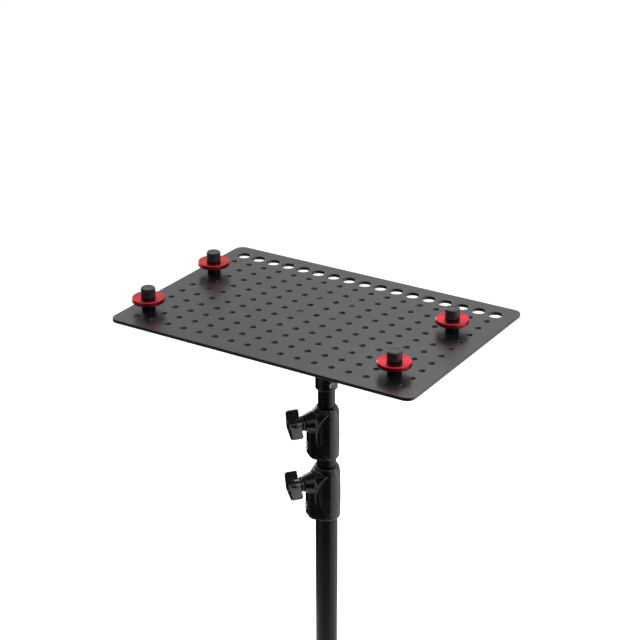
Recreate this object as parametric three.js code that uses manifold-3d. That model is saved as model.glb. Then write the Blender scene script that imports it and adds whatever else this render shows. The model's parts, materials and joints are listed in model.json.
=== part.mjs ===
// Tethering table: a perforated work plate with four red-disc clamps on a short telescoping stand.
// Millimetres, +Z up. The origin is on the floor, in the middle of the stand's and the plate's outline.
import * as THREE from 'three';
import { mergeVertices } from 'three/addons/utils/BufferGeometryUtils.js';
import Module from 'manifold-3d';

const wasm = await Module();
wasm.setup();

// Running and seating clearances
const SEAT_GAP = 0.3;
const RUN_GAP = 0.4;
const CUT_OVERRUN = 5;

// Work plate and its grid of threaded holes
const TABLE_HEIGHT = 950;
const PLATE_THICKNESS = 4.6;
const PLATE_CORNER_RADIUS = 12.7;
const HOLE_PITCH = 25.4;
const HOLE_COLUMNS = 17;
const HOLE_ROWS = 10;
const HOLE_RADIUS = 4.2;
const CABLE_HOLE_RADIUS = 9.5;
const PLATE_SIDE_MARGIN = 27.3;
const PLATE_FRONT_MARGIN = 27.1;
const PLATE_BACK_MARGIN = 29.2;
const POST_COLUMN = 8;
const POST_ROW = 6;

// Clamps: grid holes that carry them, and their pieces
const CLAMP_LEFT_COLUMN = 0;
const CLAMP_RIGHT_COLUMN = 15;
const CLAMP_FRONT_ROW = 1;
const CLAMP_BACK_ROW = 7;
const CLAMP_BAY_HEIGHT = 11.8;
const CLAMP_POST_RADIUS = 9.5;
const CLAMP_STUD_RADIUS = 3.9;
const DISC_RADIUS = 22.2;
const DISC_THICKNESS = 6.6;
const DISC_CHAMFER = 1;
const CLAMP_KNOB_RADIUS = 9.8;
const CLAMP_KNOB_HEIGHT = 13.4;
const CLAMP_KNOB_CHAMFER = 1.2;
const CLAMP_SCREW_RADIUS = 3.1;
const CLAMP_SCREW_IN_KNOB = 8.5;
const CLAMP_BORE_FLOOR = 1.5;
const CLAMP_EDGE_EASE = 0.6;

// Receiver under the plate and the spigot it turns on
const FLANGE_SIDE = 76;
const FLANGE_CORNER_RADIUS = 9;
const FLANGE_THICKNESS = 6;
const FLANGE_SCREW_PITCHES = 1;
const RECEIVER_RADIUS = 15.5;
const RECEIVER_FILLET_RADIUS = 20;
const RECEIVER_FILLET_HEIGHT = 9;
const SPIGOT_RADIUS = 8;
const SPIGOT_LENGTH = 46;
const SPIGOT_ROOT = 8;
const SPIGOT_CHAMFER = 1.5;
const SPIGOT_WAIST_RADIUS = 6.6;
const SPIGOT_WAIST_LENGTH = 12;
const RECEIVER_BOSS_RADIUS = 10.5;
const RECEIVER_BOSS_REACH = 23;
const FLANGE_HEAD_RADIUS = 6.5;
const FLANGE_HEAD_HEIGHT = 6;
const FLANGE_SHANK_RADIUS = 3.9;
const HEX_SOCKET_RADIUS = 3;
const HEX_SOCKET_DEPTH = 3;

// Telescoping column
const RISER_CAP_DROP = 119.5;
const RISER_CAP_HEIGHT = 30;
const RISER_CAP_RADIUS = 15.5;
const RISER_CAP_CHAMFER = 2.4;
const RISER_IN_CAP = 19;
const TOP_RISER_RADIUS = 12;
const TUBE_WALL = 1.5;
const COLLAR_DROP = 146;
const COLLAR_BODY_HEIGHT = 73;
const UPPER_SHOULDER_HEIGHT = 7;
const LOWER_SHOULDER_HEIGHT = 10.4;
const COLLAR_SPACE = 12.4;
const COLLAR_WALL = 3.4;
const COLLAR_NECK_WALL = 1.6;
const COLLAR_NECK_HEIGHT = 1.6;
const COLLAR_FOOT_CHAMFER = 2.6;
const COLLAR_BULGE = 0.5;
const COLLAR_STEP_HEIGHT = 43;
const LOBE_PROUD = 0.6;
const LOBE_REACH_PAST_SLEEVE = 10.2;
const LOBE_NOSE_RADIUS = 9;
const LOBE_BOTTOM = 3.5;
const LOBE_TAPER_RADIUS = 9;
const CREASE_RADIUS = 50;
const CREASE_BACK_FROM_NOSE = 7.5;
const CREASE_HEIGHT = 38;
const BOSS_HEIGHT = 58.5;
const BOSS_BASE_RADIUS = 12.5;
const BOSS_END_RADIUS = 8.6;
const BOSS_LENGTH = 10;
const BOSS_PAST_NOSE = 2.6;
const TIGHTENING_SCREW_RADIUS = 4.8;
const RIVET_HEAD_RADIUS = 2.1;
const RIVET_HEAD_HEIGHT = 1.2;
const RIVET_SHANK_RADIUS = 1.3;
const RIVET_SHANK_LENGTH = 5;
const RIVET_HEIGHT = 20;
const RIVET_SPACING = 6.4;
const KNOB_ANGLE = 232;
const UPPER_KNOB_TURN = 36;
const LOWER_KNOB_TURN = 47;
const RECEIVER_KNOB_TURN = 20;

// T-shaped tightening knobs
const KNOB_HUB_RADIUS = 8.8;
const KNOB_NECK_RADIUS = 7.4;
const KNOB_NECK_LENGTH = 4;
const KNOB_TIP_START = 8;
const KNOB_TIP_DEPTH = 15.8;
const KNOB_SWEEP = 2.9;
const KNOB_BAR_LENGTH = 37.5;
const KNOB_BAR_THICKNESS = 10;
const KNOB_BORE_DEPTH = 16;
const KNOB_EDGE_EASE = 1;
const KNOB_END_SET_BACK = 1.2;

// Grub screw in the riser cap
const GRUB_RADIUS = 4.2;
const GRUB_HEIGHT = 10;
const GRUB_RECESS = 0.7;
const GRUB_SOCKET_RADIUS = 2;
const GRUB_SOCKET_DEPTH = 1.4;
const GRUB_ANGLE = -28;

// Folding leg base
const HUB_HEIGHT = 34;
const HUB_RADIUS = 25;
const HUB_CHAMFER = 2;
const WASHER_THICKNESS = 2;
const WASHER_OVERHANG = 5;
const LOWEST_HUB_CLEARANCE = 74;
const COLUMN_BELOW_HUBS = 8;
const SOCKET_RADIUS = 15.6;
const SOCKET_REACH = 62;
const LEG_IN_SOCKET = 26;
const LEG_RADIUS = 12.5;
const LEG_WALL = 2;
const LEG_SPREAD = 405;
const LEG_BEND_RADIUS = 90;
const LEG_SLOPE = 52;
const LEG_END_HEIGHT = 17;
const BACK_LEG_ANGLE = 90;
const LEG_FAN_ANGLE = 120;
const BOOT_WALL = 3.2;
const BOOT_LENGTH = 40;
const BOOT_EASE = 1.5;
const RETAINER_HEIGHT = 16;
const RETAINER_WALL = 7;
const RETAINER_CHAMFER = 1.2;
const PLUG_FLANGE_HEIGHT = 4;
const PLUG_SPIGOT_HEIGHT = 12;

// Facets of the round pieces
const TUBE_SIDES = 20;
const DISC_SIDES = 24;
const KNOB_SIDES = 16;
const SCREW_SIDES = 12;
const HOLE_SIDES = 6;
const CABLE_HOLE_SIDES = 12;
const RIVET_SIDES = 8;
const LOBE_STEPS = 8;
const CREASE_SIDES = 36;
const LEG_SIDES = 10;
const LEG_BORE_SIDES = 6;
const LEG_STEPS = 14;
const CORNER_STEPS = 4;

// Places that follow from the sizes above
const plateWidth = HOLE_PITCH * (HOLE_COLUMNS - 1) + 2 * PLATE_SIDE_MARGIN;
const plateDepth = HOLE_PITCH * HOLE_ROWS + PLATE_FRONT_MARGIN + PLATE_BACK_MARGIN;
const plateUnderside = TABLE_HEIGHT - PLATE_THICKNESS;
const middleRiserRadius = TOP_RISER_RADIUS + SEAT_GAP + TUBE_WALL;
const columnRadius = middleRiserRadius + SEAT_GAP + TUBE_WALL;
const bootRadius = LEG_RADIUS + SEAT_GAP + BOOT_WALL;
const legSlope = THREE.MathUtils.degToRad(LEG_SLOPE);
const footCentre = LEG_SPREAD + LEG_END_HEIGHT / Math.tan(legSlope);
const footHalfLength = bootRadius / Math.sin(legSlope);
const frontFootTurn = THREE.MathUtils.degToRad(LEG_FAN_ANGLE - BACK_LEG_ANGLE);
const backReach = footCentre + footHalfLength;
const frontReach = footCentre * Math.sin(frontFootTurn)
  + Math.hypot(footHalfLength * Math.sin(frontFootTurn), bootRadius * Math.cos(frontFootTurn));
const columnY = -(backReach - frontReach) / 2;
const gridLeft = -HOLE_PITCH * POST_COLUMN;
const gridFront = columnY - HOLE_PITCH * POST_ROW;
const hubPitch = HUB_HEIGHT + WASHER_THICKNESS + 2 * SEAT_GAP;
const columnBottom = LOWEST_HUB_CLEARANCE - COLUMN_BELOW_HUBS;
const riserCapBottom = TABLE_HEIGHT - RISER_CAP_DROP;
const riserCapTop = riserCapBottom + RISER_CAP_HEIGHT;
const upperCollarHeight = COLLAR_BODY_HEIGHT + UPPER_SHOULDER_HEIGHT;
const lowerCollarHeight = COLLAR_BODY_HEIGHT + LOWER_SHOULDER_HEIGHT;
const upperCollarBottom = TABLE_HEIGHT - COLLAR_DROP - upperCollarHeight;
const lowerCollarBottom = upperCollarBottom - COLLAR_SPACE - lowerCollarHeight;
const tubeSeatInCollar = COLLAR_STEP_HEIGHT - SEAT_GAP;
const riserBottom = columnBottom + PLUG_SPIGOT_HEIGHT + SEAT_GAP;

// Finishes
function finish(color, roughness, metalness) {
  return new THREE.MeshStandardMaterial({ color, roughness, metalness });
}
const blackAnodised = () => finish(0x2b2c2e, 0.42, 0.6);
const redAnodised = () => finish(0xb5121f, 0.3, 0.8);
const blackPlastic = () => finish(0x111213, 0.35, 0);
const blackPaint = () => finish(0x151516, 0.38, 0.3);
const blackCasting = () => finish(0x1a1a1b, 0.45, 0.4);
const zincSteel = () => finish(0xb9bcc0, 0.3, 0.9);
const blackSteel = () => finish(0x202124, 0.35, 0.8);
const nylon = () => finish(0xd9d7cf, 0.5, 0);
const rubber = () => finish(0x18181a, 0.85, 0);

const table = new THREE.Group();

function addPiece(name, geometry, material, place = [0, 0, 0], turn = [0, 0, 0], parent = table) {
  const mesh = new THREE.Mesh(geometry, material);
  mesh.name = name;
  mesh.position.set(...place);
  mesh.rotation.set(...turn.map(THREE.MathUtils.degToRad));
  parent.add(mesh);
  return mesh;
}

// Joining and cutting closed geometries
function toSolid(geometry) {
  const bare = geometry.clone();
  bare.deleteAttribute('normal');
  bare.deleteAttribute('uv');
  const merged = mergeVertices(bare);
  const vertProperties = new Float32Array(merged.attributes.position.array);
  const triVerts = new Uint32Array(merged.index.array);
  return new wasm.Manifold(new wasm.Mesh({ numProp: 3, vertProperties, triVerts }));
}

function toGeometry(solid) {
  const mesh = solid.getMesh();
  const geometry = new THREE.BufferGeometry();
  geometry.setAttribute('position', new THREE.BufferAttribute(new Float32Array(mesh.vertProperties), 3));
  geometry.setIndex(new THREE.BufferAttribute(new Uint32Array(mesh.triVerts), 1));
  const faceted = geometry.toNonIndexed();
  faceted.computeVertexNormals();
  return faceted;
}

function join(first, ...others) {
  return toGeometry(others.reduce((sum, next) => sum.add(toSolid(next)), toSolid(first)));
}

function cut(body, ...tools) {
  return toGeometry(tools.reduce((rest, tool) => rest.subtract(toSolid(tool)), toSolid(body)));
}

function common(first, second) {
  return toGeometry(toSolid(first).intersect(toSolid(second)));
}

// A ring or rod turned about +Z from [radius, height] pairs, listed bottom to top on the outside
function turned(pairs, sides) {
  const points = pairs.map(([radius, height]) => new THREE.Vector2(radius, height));
  const geometry = new THREE.LatheGeometry(points, sides);
  geometry.rotateX(Math.PI / 2);
  return geometry;
}

function rod(radius, bottom, top, sides) {
  return turned([[0, bottom], [radius, bottom], [radius, top], [0, top]], sides);
}

function ring(inner, outer, bottom, top, sides, ease = 0) {
  const lower = ease > 0 ? [[outer - ease, bottom], [outer, bottom + ease]] : [[outer, bottom]];
  const upper = ease > 0 ? [[outer, top - ease], [outer - ease, top]] : [[outer, top]];
  return turned([[inner, bottom], ...lower, ...upper, [inner, top], [inner, bottom]], sides);
}

// A rod along +X, as for a screw or a radial bore
function crossRod(radius, from, to, height, sides) {
  const geometry = rod(radius, from, to, sides);
  geometry.rotateY(Math.PI / 2);
  geometry.translate(0, 0, height);
  return geometry;
}

// Radius of the corners of a polygon whose flats lie at the wanted radius
function cornerRadius(flatRadius, sides) {
  return flatRadius / Math.cos(Math.PI / sides);
}

function roundedRectangle(left, front, right, back, radius) {
  const shape = new THREE.Shape();
  shape.moveTo(left + radius, front);
  shape.lineTo(right - radius, front);
  shape.absarc(right - radius, front + radius, radius, -Math.PI / 2, 0);
  shape.lineTo(right, back - radius);
  shape.absarc(right - radius, back - radius, radius, 0, Math.PI / 2);
  shape.lineTo(left + radius, back);
  shape.absarc(left + radius, back - radius, radius, Math.PI / 2, Math.PI);
  shape.lineTo(left, front + radius);
  shape.absarc(left + radius, front + radius, radius, Math.PI, 1.5 * Math.PI);
  return shape;
}

function polygonHole(x, y, flatRadius, sides) {
  const corner = cornerRadius(flatRadius, sides);
  const points = [];
  for (let side = 0; side < sides; side += 1) {
    const angle = ((side + 0.5) / sides) * 2 * Math.PI;
    points.push(new THREE.Vector2(x + corner * Math.cos(angle), y + corner * Math.sin(angle)));
  }
  return new THREE.Path(points);
}

function holeX(column) {
  return gridLeft + column * HOLE_PITCH;
}

function holeY(row) {
  return gridFront + row * HOLE_PITCH;
}

// Work plate: ten rows of threaded holes, and a row of wide cable holes along the back
function plateGeometry() {
  const left = holeX(0) - PLATE_SIDE_MARGIN;
  const front = holeY(0) - PLATE_FRONT_MARGIN;
  const shape = roundedRectangle(left, front, left + plateWidth, front + plateDepth, PLATE_CORNER_RADIUS);
  for (let column = 0; column < HOLE_COLUMNS; column += 1) {
    for (let row = 0; row < HOLE_ROWS; row += 1) {
      shape.holes.push(polygonHole(holeX(column), holeY(row), HOLE_RADIUS, HOLE_SIDES));
    }
    shape.holes.push(polygonHole(holeX(column), holeY(HOLE_ROWS), CABLE_HOLE_RADIUS, CABLE_HOLE_SIDES));
  }
  return new THREE.ExtrudeGeometry(shape, {
    depth: PLATE_THICKNESS,
    bevelEnabled: false,
    curveSegments: CORNER_STEPS,
  });
}

// One clamp: a post screwed into a grid hole, a wide disc that grips the edge of what lies on the
// plate, and a knob on a screw that draws the disc down
function addClamp(name, column, row) {
  const place = [holeX(column), holeY(row), TABLE_HEIGHT];
  const postTop = CLAMP_BAY_HEIGHT - SEAT_GAP;
  const discTop = CLAMP_BAY_HEIGHT + DISC_THICKNESS;
  const knobBottom = discTop + SEAT_GAP;
  const knobTop = knobBottom + CLAMP_KNOB_HEIGHT;
  const boreRadius = cornerRadius(CLAMP_SCREW_RADIUS + SEAT_GAP, SCREW_SIDES);
  const post = turned([
    [0, -PLATE_THICKNESS],
    [CLAMP_STUD_RADIUS, -PLATE_THICKNESS],
    [CLAMP_STUD_RADIUS, SEAT_GAP],
    [CLAMP_POST_RADIUS, SEAT_GAP],
    [CLAMP_POST_RADIUS, postTop - CLAMP_EDGE_EASE],
    [CLAMP_POST_RADIUS - CLAMP_EDGE_EASE, postTop],
    [boreRadius, postTop],
    [boreRadius, CLAMP_BORE_FLOOR],
    [0, CLAMP_BORE_FLOOR],
  ], SCREW_SIDES);
  const disc = ring(boreRadius, DISC_RADIUS, CLAMP_BAY_HEIGHT, discTop, DISC_SIDES, DISC_CHAMFER);
  const knob = turned([
    [boreRadius, knobBottom],
    [CLAMP_KNOB_RADIUS, knobBottom],
    [CLAMP_KNOB_RADIUS, knobTop - CLAMP_KNOB_CHAMFER],
    [CLAMP_KNOB_RADIUS - CLAMP_KNOB_CHAMFER, knobTop],
    [0, knobTop],
    [0, knobBottom + CLAMP_SCREW_IN_KNOB],
    [boreRadius, knobBottom + CLAMP_SCREW_IN_KNOB],
    [boreRadius, knobBottom],
  ], KNOB_SIDES);
  const screwBottom = CLAMP_BORE_FLOOR + SEAT_GAP;
  const screwTop = knobBottom + CLAMP_SCREW_IN_KNOB - SEAT_GAP;
  addPiece(`${name}_post`, post, blackSteel(), place);
  addPiece(`${name}_disc`, disc, redAnodised(), place);
  addPiece(`${name}_knob`, knob, blackPlastic(), place);
  addPiece(`${name}_screw`, rod(CLAMP_SCREW_RADIUS, screwBottom, screwTop, SCREW_SIDES), zincSteel(), place);
}

// T-shaped knob, its axis along +X from the face of the boss, its two wings swept back at their tips
function knobGeometry() {
  const half = KNOB_BAR_LENGTH / 2;
  const tipEnd = KNOB_TIP_START + KNOB_TIP_DEPTH;
  const end = tipEnd + KNOB_SWEEP;
  const hubEnd = end - KNOB_END_SET_BACK;
  const outline = [
    [KNOB_TIP_START + KNOB_SWEEP, 0],
    [KNOB_TIP_START, -half + KNOB_EDGE_EASE],
    [KNOB_TIP_START + KNOB_EDGE_EASE, -half],
    [tipEnd - KNOB_EDGE_EASE, -half],
    [tipEnd, -half + KNOB_EDGE_EASE],
    [hubEnd, 0],
    [tipEnd, half - KNOB_EDGE_EASE],
    [tipEnd - KNOB_EDGE_EASE, half],
    [KNOB_TIP_START + KNOB_EDGE_EASE, half],
    [KNOB_TIP_START, half - KNOB_EDGE_EASE],
  ].map(([x, y]) => new THREE.Vector2(x, y));
  const wings = new THREE.ExtrudeGeometry(new THREE.Shape(outline), {
    depth: KNOB_BAR_THICKNESS,
    bevelEnabled: false,
  });
  wings.translate(0, 0, -KNOB_BAR_THICKNESS / 2);
  wings.rotateX(Math.PI / 2);
  const hub = turned([
    [0, 0],
    [KNOB_NECK_RADIUS, 0],
    [KNOB_NECK_RADIUS, KNOB_NECK_LENGTH],
    [KNOB_HUB_RADIUS, KNOB_TIP_START],
    [KNOB_HUB_RADIUS, tipEnd - KNOB_EDGE_EASE],
    [KNOB_NECK_RADIUS, hubEnd],
    [0, hubEnd],
  ], KNOB_SIDES);
  hub.rotateY(Math.PI / 2);
  const boreRadius = cornerRadius(TIGHTENING_SCREW_RADIUS + SEAT_GAP, SCREW_SIDES);
  const bore = crossRod(boreRadius, -CUT_OVERRUN, KNOB_BORE_DEPTH, 0, SCREW_SIDES);
  return cut(join(wings, hub), bore);
}

// A knob and its screw on a boss whose face is at the reach given, on an axis at the angle given
function addTighteningKnob(name, reach, screwTip, angle, turn, height) {
  const pivot = new THREE.Group();
  pivot.position.set(0, columnY, height);
  pivot.rotation.z = THREE.MathUtils.degToRad(angle);
  table.add(pivot);
  const start = reach + SEAT_GAP;
  addPiece(`${name}_knob`, knobGeometry(), blackPlastic(), [start, 0, 0], [turn, 0, 0], pivot);
  const screw = crossRod(TIGHTENING_SCREW_RADIUS, screwTip, start + KNOB_BORE_DEPTH - SEAT_GAP, 0, SCREW_SIDES);
  addPiece(`${name}_screw`, screw, zincSteel(), [0, 0, 0], [0, 0, 0], pivot);
}

function tighteningBore(from, reach, height) {
  const radius = cornerRadius(TIGHTENING_SCREW_RADIUS + SEAT_GAP, SCREW_SIDES);
  return crossRod(radius, from, reach + CUT_OVERRUN, height, SCREW_SIDES);
}

// Receiver: a flange bolted up into four grid holes and a socket that turns on the spigot
function addReceiver() {
  const flangeTop = plateUnderside - SEAT_GAP;
  const flangeBottom = flangeTop - FLANGE_THICKNESS;
  const socketBottom = riserCapTop + SEAT_GAP;
  const half = FLANGE_SIDE / 2;
  const flange = new THREE.ExtrudeGeometry(
    roundedRectangle(-half, -half, half, half, FLANGE_CORNER_RADIUS),
    { depth: FLANGE_THICKNESS, bevelEnabled: false, curveSegments: CORNER_STEPS },
  );
  flange.translate(0, 0, flangeBottom);
  const socket = turned([
    [0, socketBottom],
    [RECEIVER_RADIUS - RISER_CAP_CHAMFER, socketBottom],
    [RECEIVER_RADIUS, socketBottom + RISER_CAP_CHAMFER],
    [RECEIVER_RADIUS, flangeBottom - RECEIVER_FILLET_HEIGHT],
    [RECEIVER_FILLET_RADIUS, flangeBottom + FLANGE_THICKNESS / 2],
    [0, flangeBottom + FLANGE_THICKNESS / 2],
  ], TUBE_SIDES);
  const lockHeight = riserCapTop + SPIGOT_LENGTH / 2;
  const boss = crossRod(RECEIVER_BOSS_RADIUS, 0, RECEIVER_BOSS_REACH, lockHeight, KNOB_SIDES);
  const boreTop = riserCapTop + SPIGOT_LENGTH + 2 * SEAT_GAP;
  const bore = rod(
    cornerRadius(SPIGOT_RADIUS + SEAT_GAP, TUBE_SIDES),
    socketBottom - CUT_OVERRUN,
    boreTop,
    TUBE_SIDES,
  );
  const offset = HOLE_PITCH * FLANGE_SCREW_PITCHES;
  const screwHoles = [];
  const screwPlaces = [];
  for (const [name, sideX, sideY] of [
    ['front_left', -1, -1],
    ['front_right', 1, -1],
    ['back_left', -1, 1],
    ['back_right', 1, 1],
  ]) {
    const hole = rod(
      cornerRadius(FLANGE_SHANK_RADIUS + SEAT_GAP, SCREW_SIDES),
      flangeBottom - CUT_OVERRUN,
      flangeTop + CUT_OVERRUN,
      SCREW_SIDES,
    );
    hole.translate(sideX * offset, sideY * offset, 0);
    screwHoles.push(hole);
    screwPlaces.push([name, sideX * offset, sideY * offset]);
  }
  const screwTip = SPIGOT_WAIST_RADIUS + RUN_GAP;
  const body = cut(
    join(flange, socket, boss),
    bore,
    tighteningBore(0, RECEIVER_BOSS_REACH, lockHeight),
    ...screwHoles,
  );
  addPiece('receiver', body, blackCasting(), [0, columnY, 0]);
  addTighteningKnob('receiver_lock', RECEIVER_BOSS_REACH, screwTip, 0, RECEIVER_KNOB_TURN, lockHeight);
  const headTop = flangeBottom - SEAT_GAP;
  const socketRadius = cornerRadius(HEX_SOCKET_RADIUS, SCREW_SIDES);
  for (const [name, x, y] of screwPlaces) {
    const screw = turned([
      [0, headTop - FLANGE_HEAD_HEIGHT + HEX_SOCKET_DEPTH],
      [socketRadius, headTop - FLANGE_HEAD_HEIGHT + HEX_SOCKET_DEPTH],
      [socketRadius, headTop - FLANGE_HEAD_HEIGHT],
      [FLANGE_HEAD_RADIUS, headTop - FLANGE_HEAD_HEIGHT],
      [FLANGE_HEAD_RADIUS, headTop],
      [FLANGE_SHANK_RADIUS, headTop],
      [FLANGE_SHANK_RADIUS, TABLE_HEIGHT - CLAMP_EDGE_EASE],
      [0, TABLE_HEIGHT - CLAMP_EDGE_EASE],
    ], SCREW_SIDES);
    addPiece(`receiver_screw_${name}`, screw, blackSteel(), [x, columnY + y, 0]);
  }
}

// Spigot: the pin that the receiver sits on, with a waist that the lock screw grips
function addSpigot() {
  const waistMiddle = SPIGOT_LENGTH / 2;
  const waistBottom = waistMiddle - SPIGOT_WAIST_LENGTH / 2;
  const waistTop = waistMiddle + SPIGOT_WAIST_LENGTH / 2;
  const spigot = turned([
    [0, -SPIGOT_ROOT],
    [SPIGOT_RADIUS, -SPIGOT_ROOT],
    [SPIGOT_RADIUS, waistBottom],
    [SPIGOT_WAIST_RADIUS, waistBottom + SPIGOT_CHAMFER],
    [SPIGOT_WAIST_RADIUS, waistTop - SPIGOT_CHAMFER],
    [SPIGOT_RADIUS, waistTop],
    [SPIGOT_RADIUS, SPIGOT_LENGTH - SPIGOT_CHAMFER],
    [SPIGOT_RADIUS - SPIGOT_CHAMFER, SPIGOT_LENGTH],
    [0, SPIGOT_LENGTH],
  ], TUBE_SIDES);
  addPiece('spigot', spigot, zincSteel(), [0, columnY, riserCapTop]);
}

// Riser cap: the casting on the top tube that holds the spigot, with a grub screw in its side
function addRiserCap() {
  const shell = turned([
    [cornerRadius(TOP_RISER_RADIUS + SEAT_GAP, TUBE_SIDES), riserCapBottom],
    [RISER_CAP_RADIUS - RISER_CAP_CHAMFER, riserCapBottom],
    [RISER_CAP_RADIUS, riserCapBottom + RISER_CAP_CHAMFER],
    [RISER_CAP_RADIUS, riserCapTop - RISER_CAP_CHAMFER],
    [RISER_CAP_RADIUS - RISER_CAP_CHAMFER, riserCapTop],
    [cornerRadius(SPIGOT_RADIUS + SEAT_GAP, TUBE_SIDES), riserCapTop],
    [cornerRadius(SPIGOT_RADIUS + SEAT_GAP, TUBE_SIDES), riserCapTop - SPIGOT_ROOT - SEAT_GAP],
    [0, riserCapTop - SPIGOT_ROOT - SEAT_GAP],
    [0, riserCapBottom + RISER_IN_CAP + SEAT_GAP],
    [cornerRadius(TOP_RISER_RADIUS + SEAT_GAP, TUBE_SIDES), riserCapBottom + RISER_IN_CAP + SEAT_GAP],
    [cornerRadius(TOP_RISER_RADIUS + SEAT_GAP, TUBE_SIDES), riserCapBottom],
  ], TUBE_SIDES);
  const grubHeight = riserCapBottom + GRUB_HEIGHT;
  const hole = crossRod(
    cornerRadius(GRUB_RADIUS + SEAT_GAP, SCREW_SIDES),
    0,
    RISER_CAP_RADIUS + CUT_OVERRUN,
    grubHeight,
    SCREW_SIDES,
  );
  hole.rotateZ(THREE.MathUtils.degToRad(GRUB_ANGLE));
  addPiece('riser_cap', cut(shell, hole), blackCasting(), [0, columnY, 0]);
  const tip = TOP_RISER_RADIUS + SEAT_GAP;
  const face = RISER_CAP_RADIUS - GRUB_RECESS;
  const socketRadius = cornerRadius(GRUB_SOCKET_RADIUS, SCREW_SIDES);
  const grub = turned([
    [0, tip],
    [GRUB_RADIUS, tip],
    [GRUB_RADIUS, face],
    [socketRadius, face],
    [socketRadius, face - GRUB_SOCKET_DEPTH],
    [0, face - GRUB_SOCKET_DEPTH],
  ], SCREW_SIDES);
  grub.rotateY(Math.PI / 2);
  addPiece('riser_cap_grub_screw', grub, blackSteel(), [0, columnY, grubHeight], [0, 0, GRUB_ANGLE]);
}

// Plan of a collar's lobe: the sleeve's round drawn out to a narrower nose
function lobePlan(sleeveRadius, noseReach) {
  const wide = sleeveRadius + LOBE_PROUD;
  const noseCentre = noseReach - LOBE_NOSE_RADIUS;
  const tangent = Math.acos((wide - LOBE_NOSE_RADIUS) / noseCentre);
  const shape = new THREE.Shape();
  shape.absarc(0, 0, wide, tangent, 2 * Math.PI - tangent);
  shape.absarc(noseCentre, 0, LOBE_NOSE_RADIUS, -tangent, tangent);
  return shape;
}

// Side outline of a collar's lobe: rounded under its nose, and sloping down from the shoulder to the boss
function lobeSide(sleeveRadius, noseReach, bossReach) {
  const back = -sleeveRadius - CUT_OVERRUN;
  const shape = new THREE.Shape();
  const taperX = noseReach - LOBE_TAPER_RADIUS;
  const taperZ = LOBE_BOTTOM + LOBE_TAPER_RADIUS;
  shape.moveTo(back, LOBE_BOTTOM);
  shape.lineTo(taperX, LOBE_BOTTOM);
  shape.absarc(taperX, taperZ, LOBE_TAPER_RADIUS, -Math.PI / 2, 0);
  shape.lineTo(noseReach, BOSS_HEIGHT);
  shape.lineTo(bossReach, BOSS_HEIGHT + BOSS_END_RADIUS);
  shape.lineTo(sleeveRadius - COLLAR_FOOT_CHAMFER, COLLAR_BODY_HEIGHT);
  shape.lineTo(back, COLLAR_BODY_HEIGHT);
  return shape;
}

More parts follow.
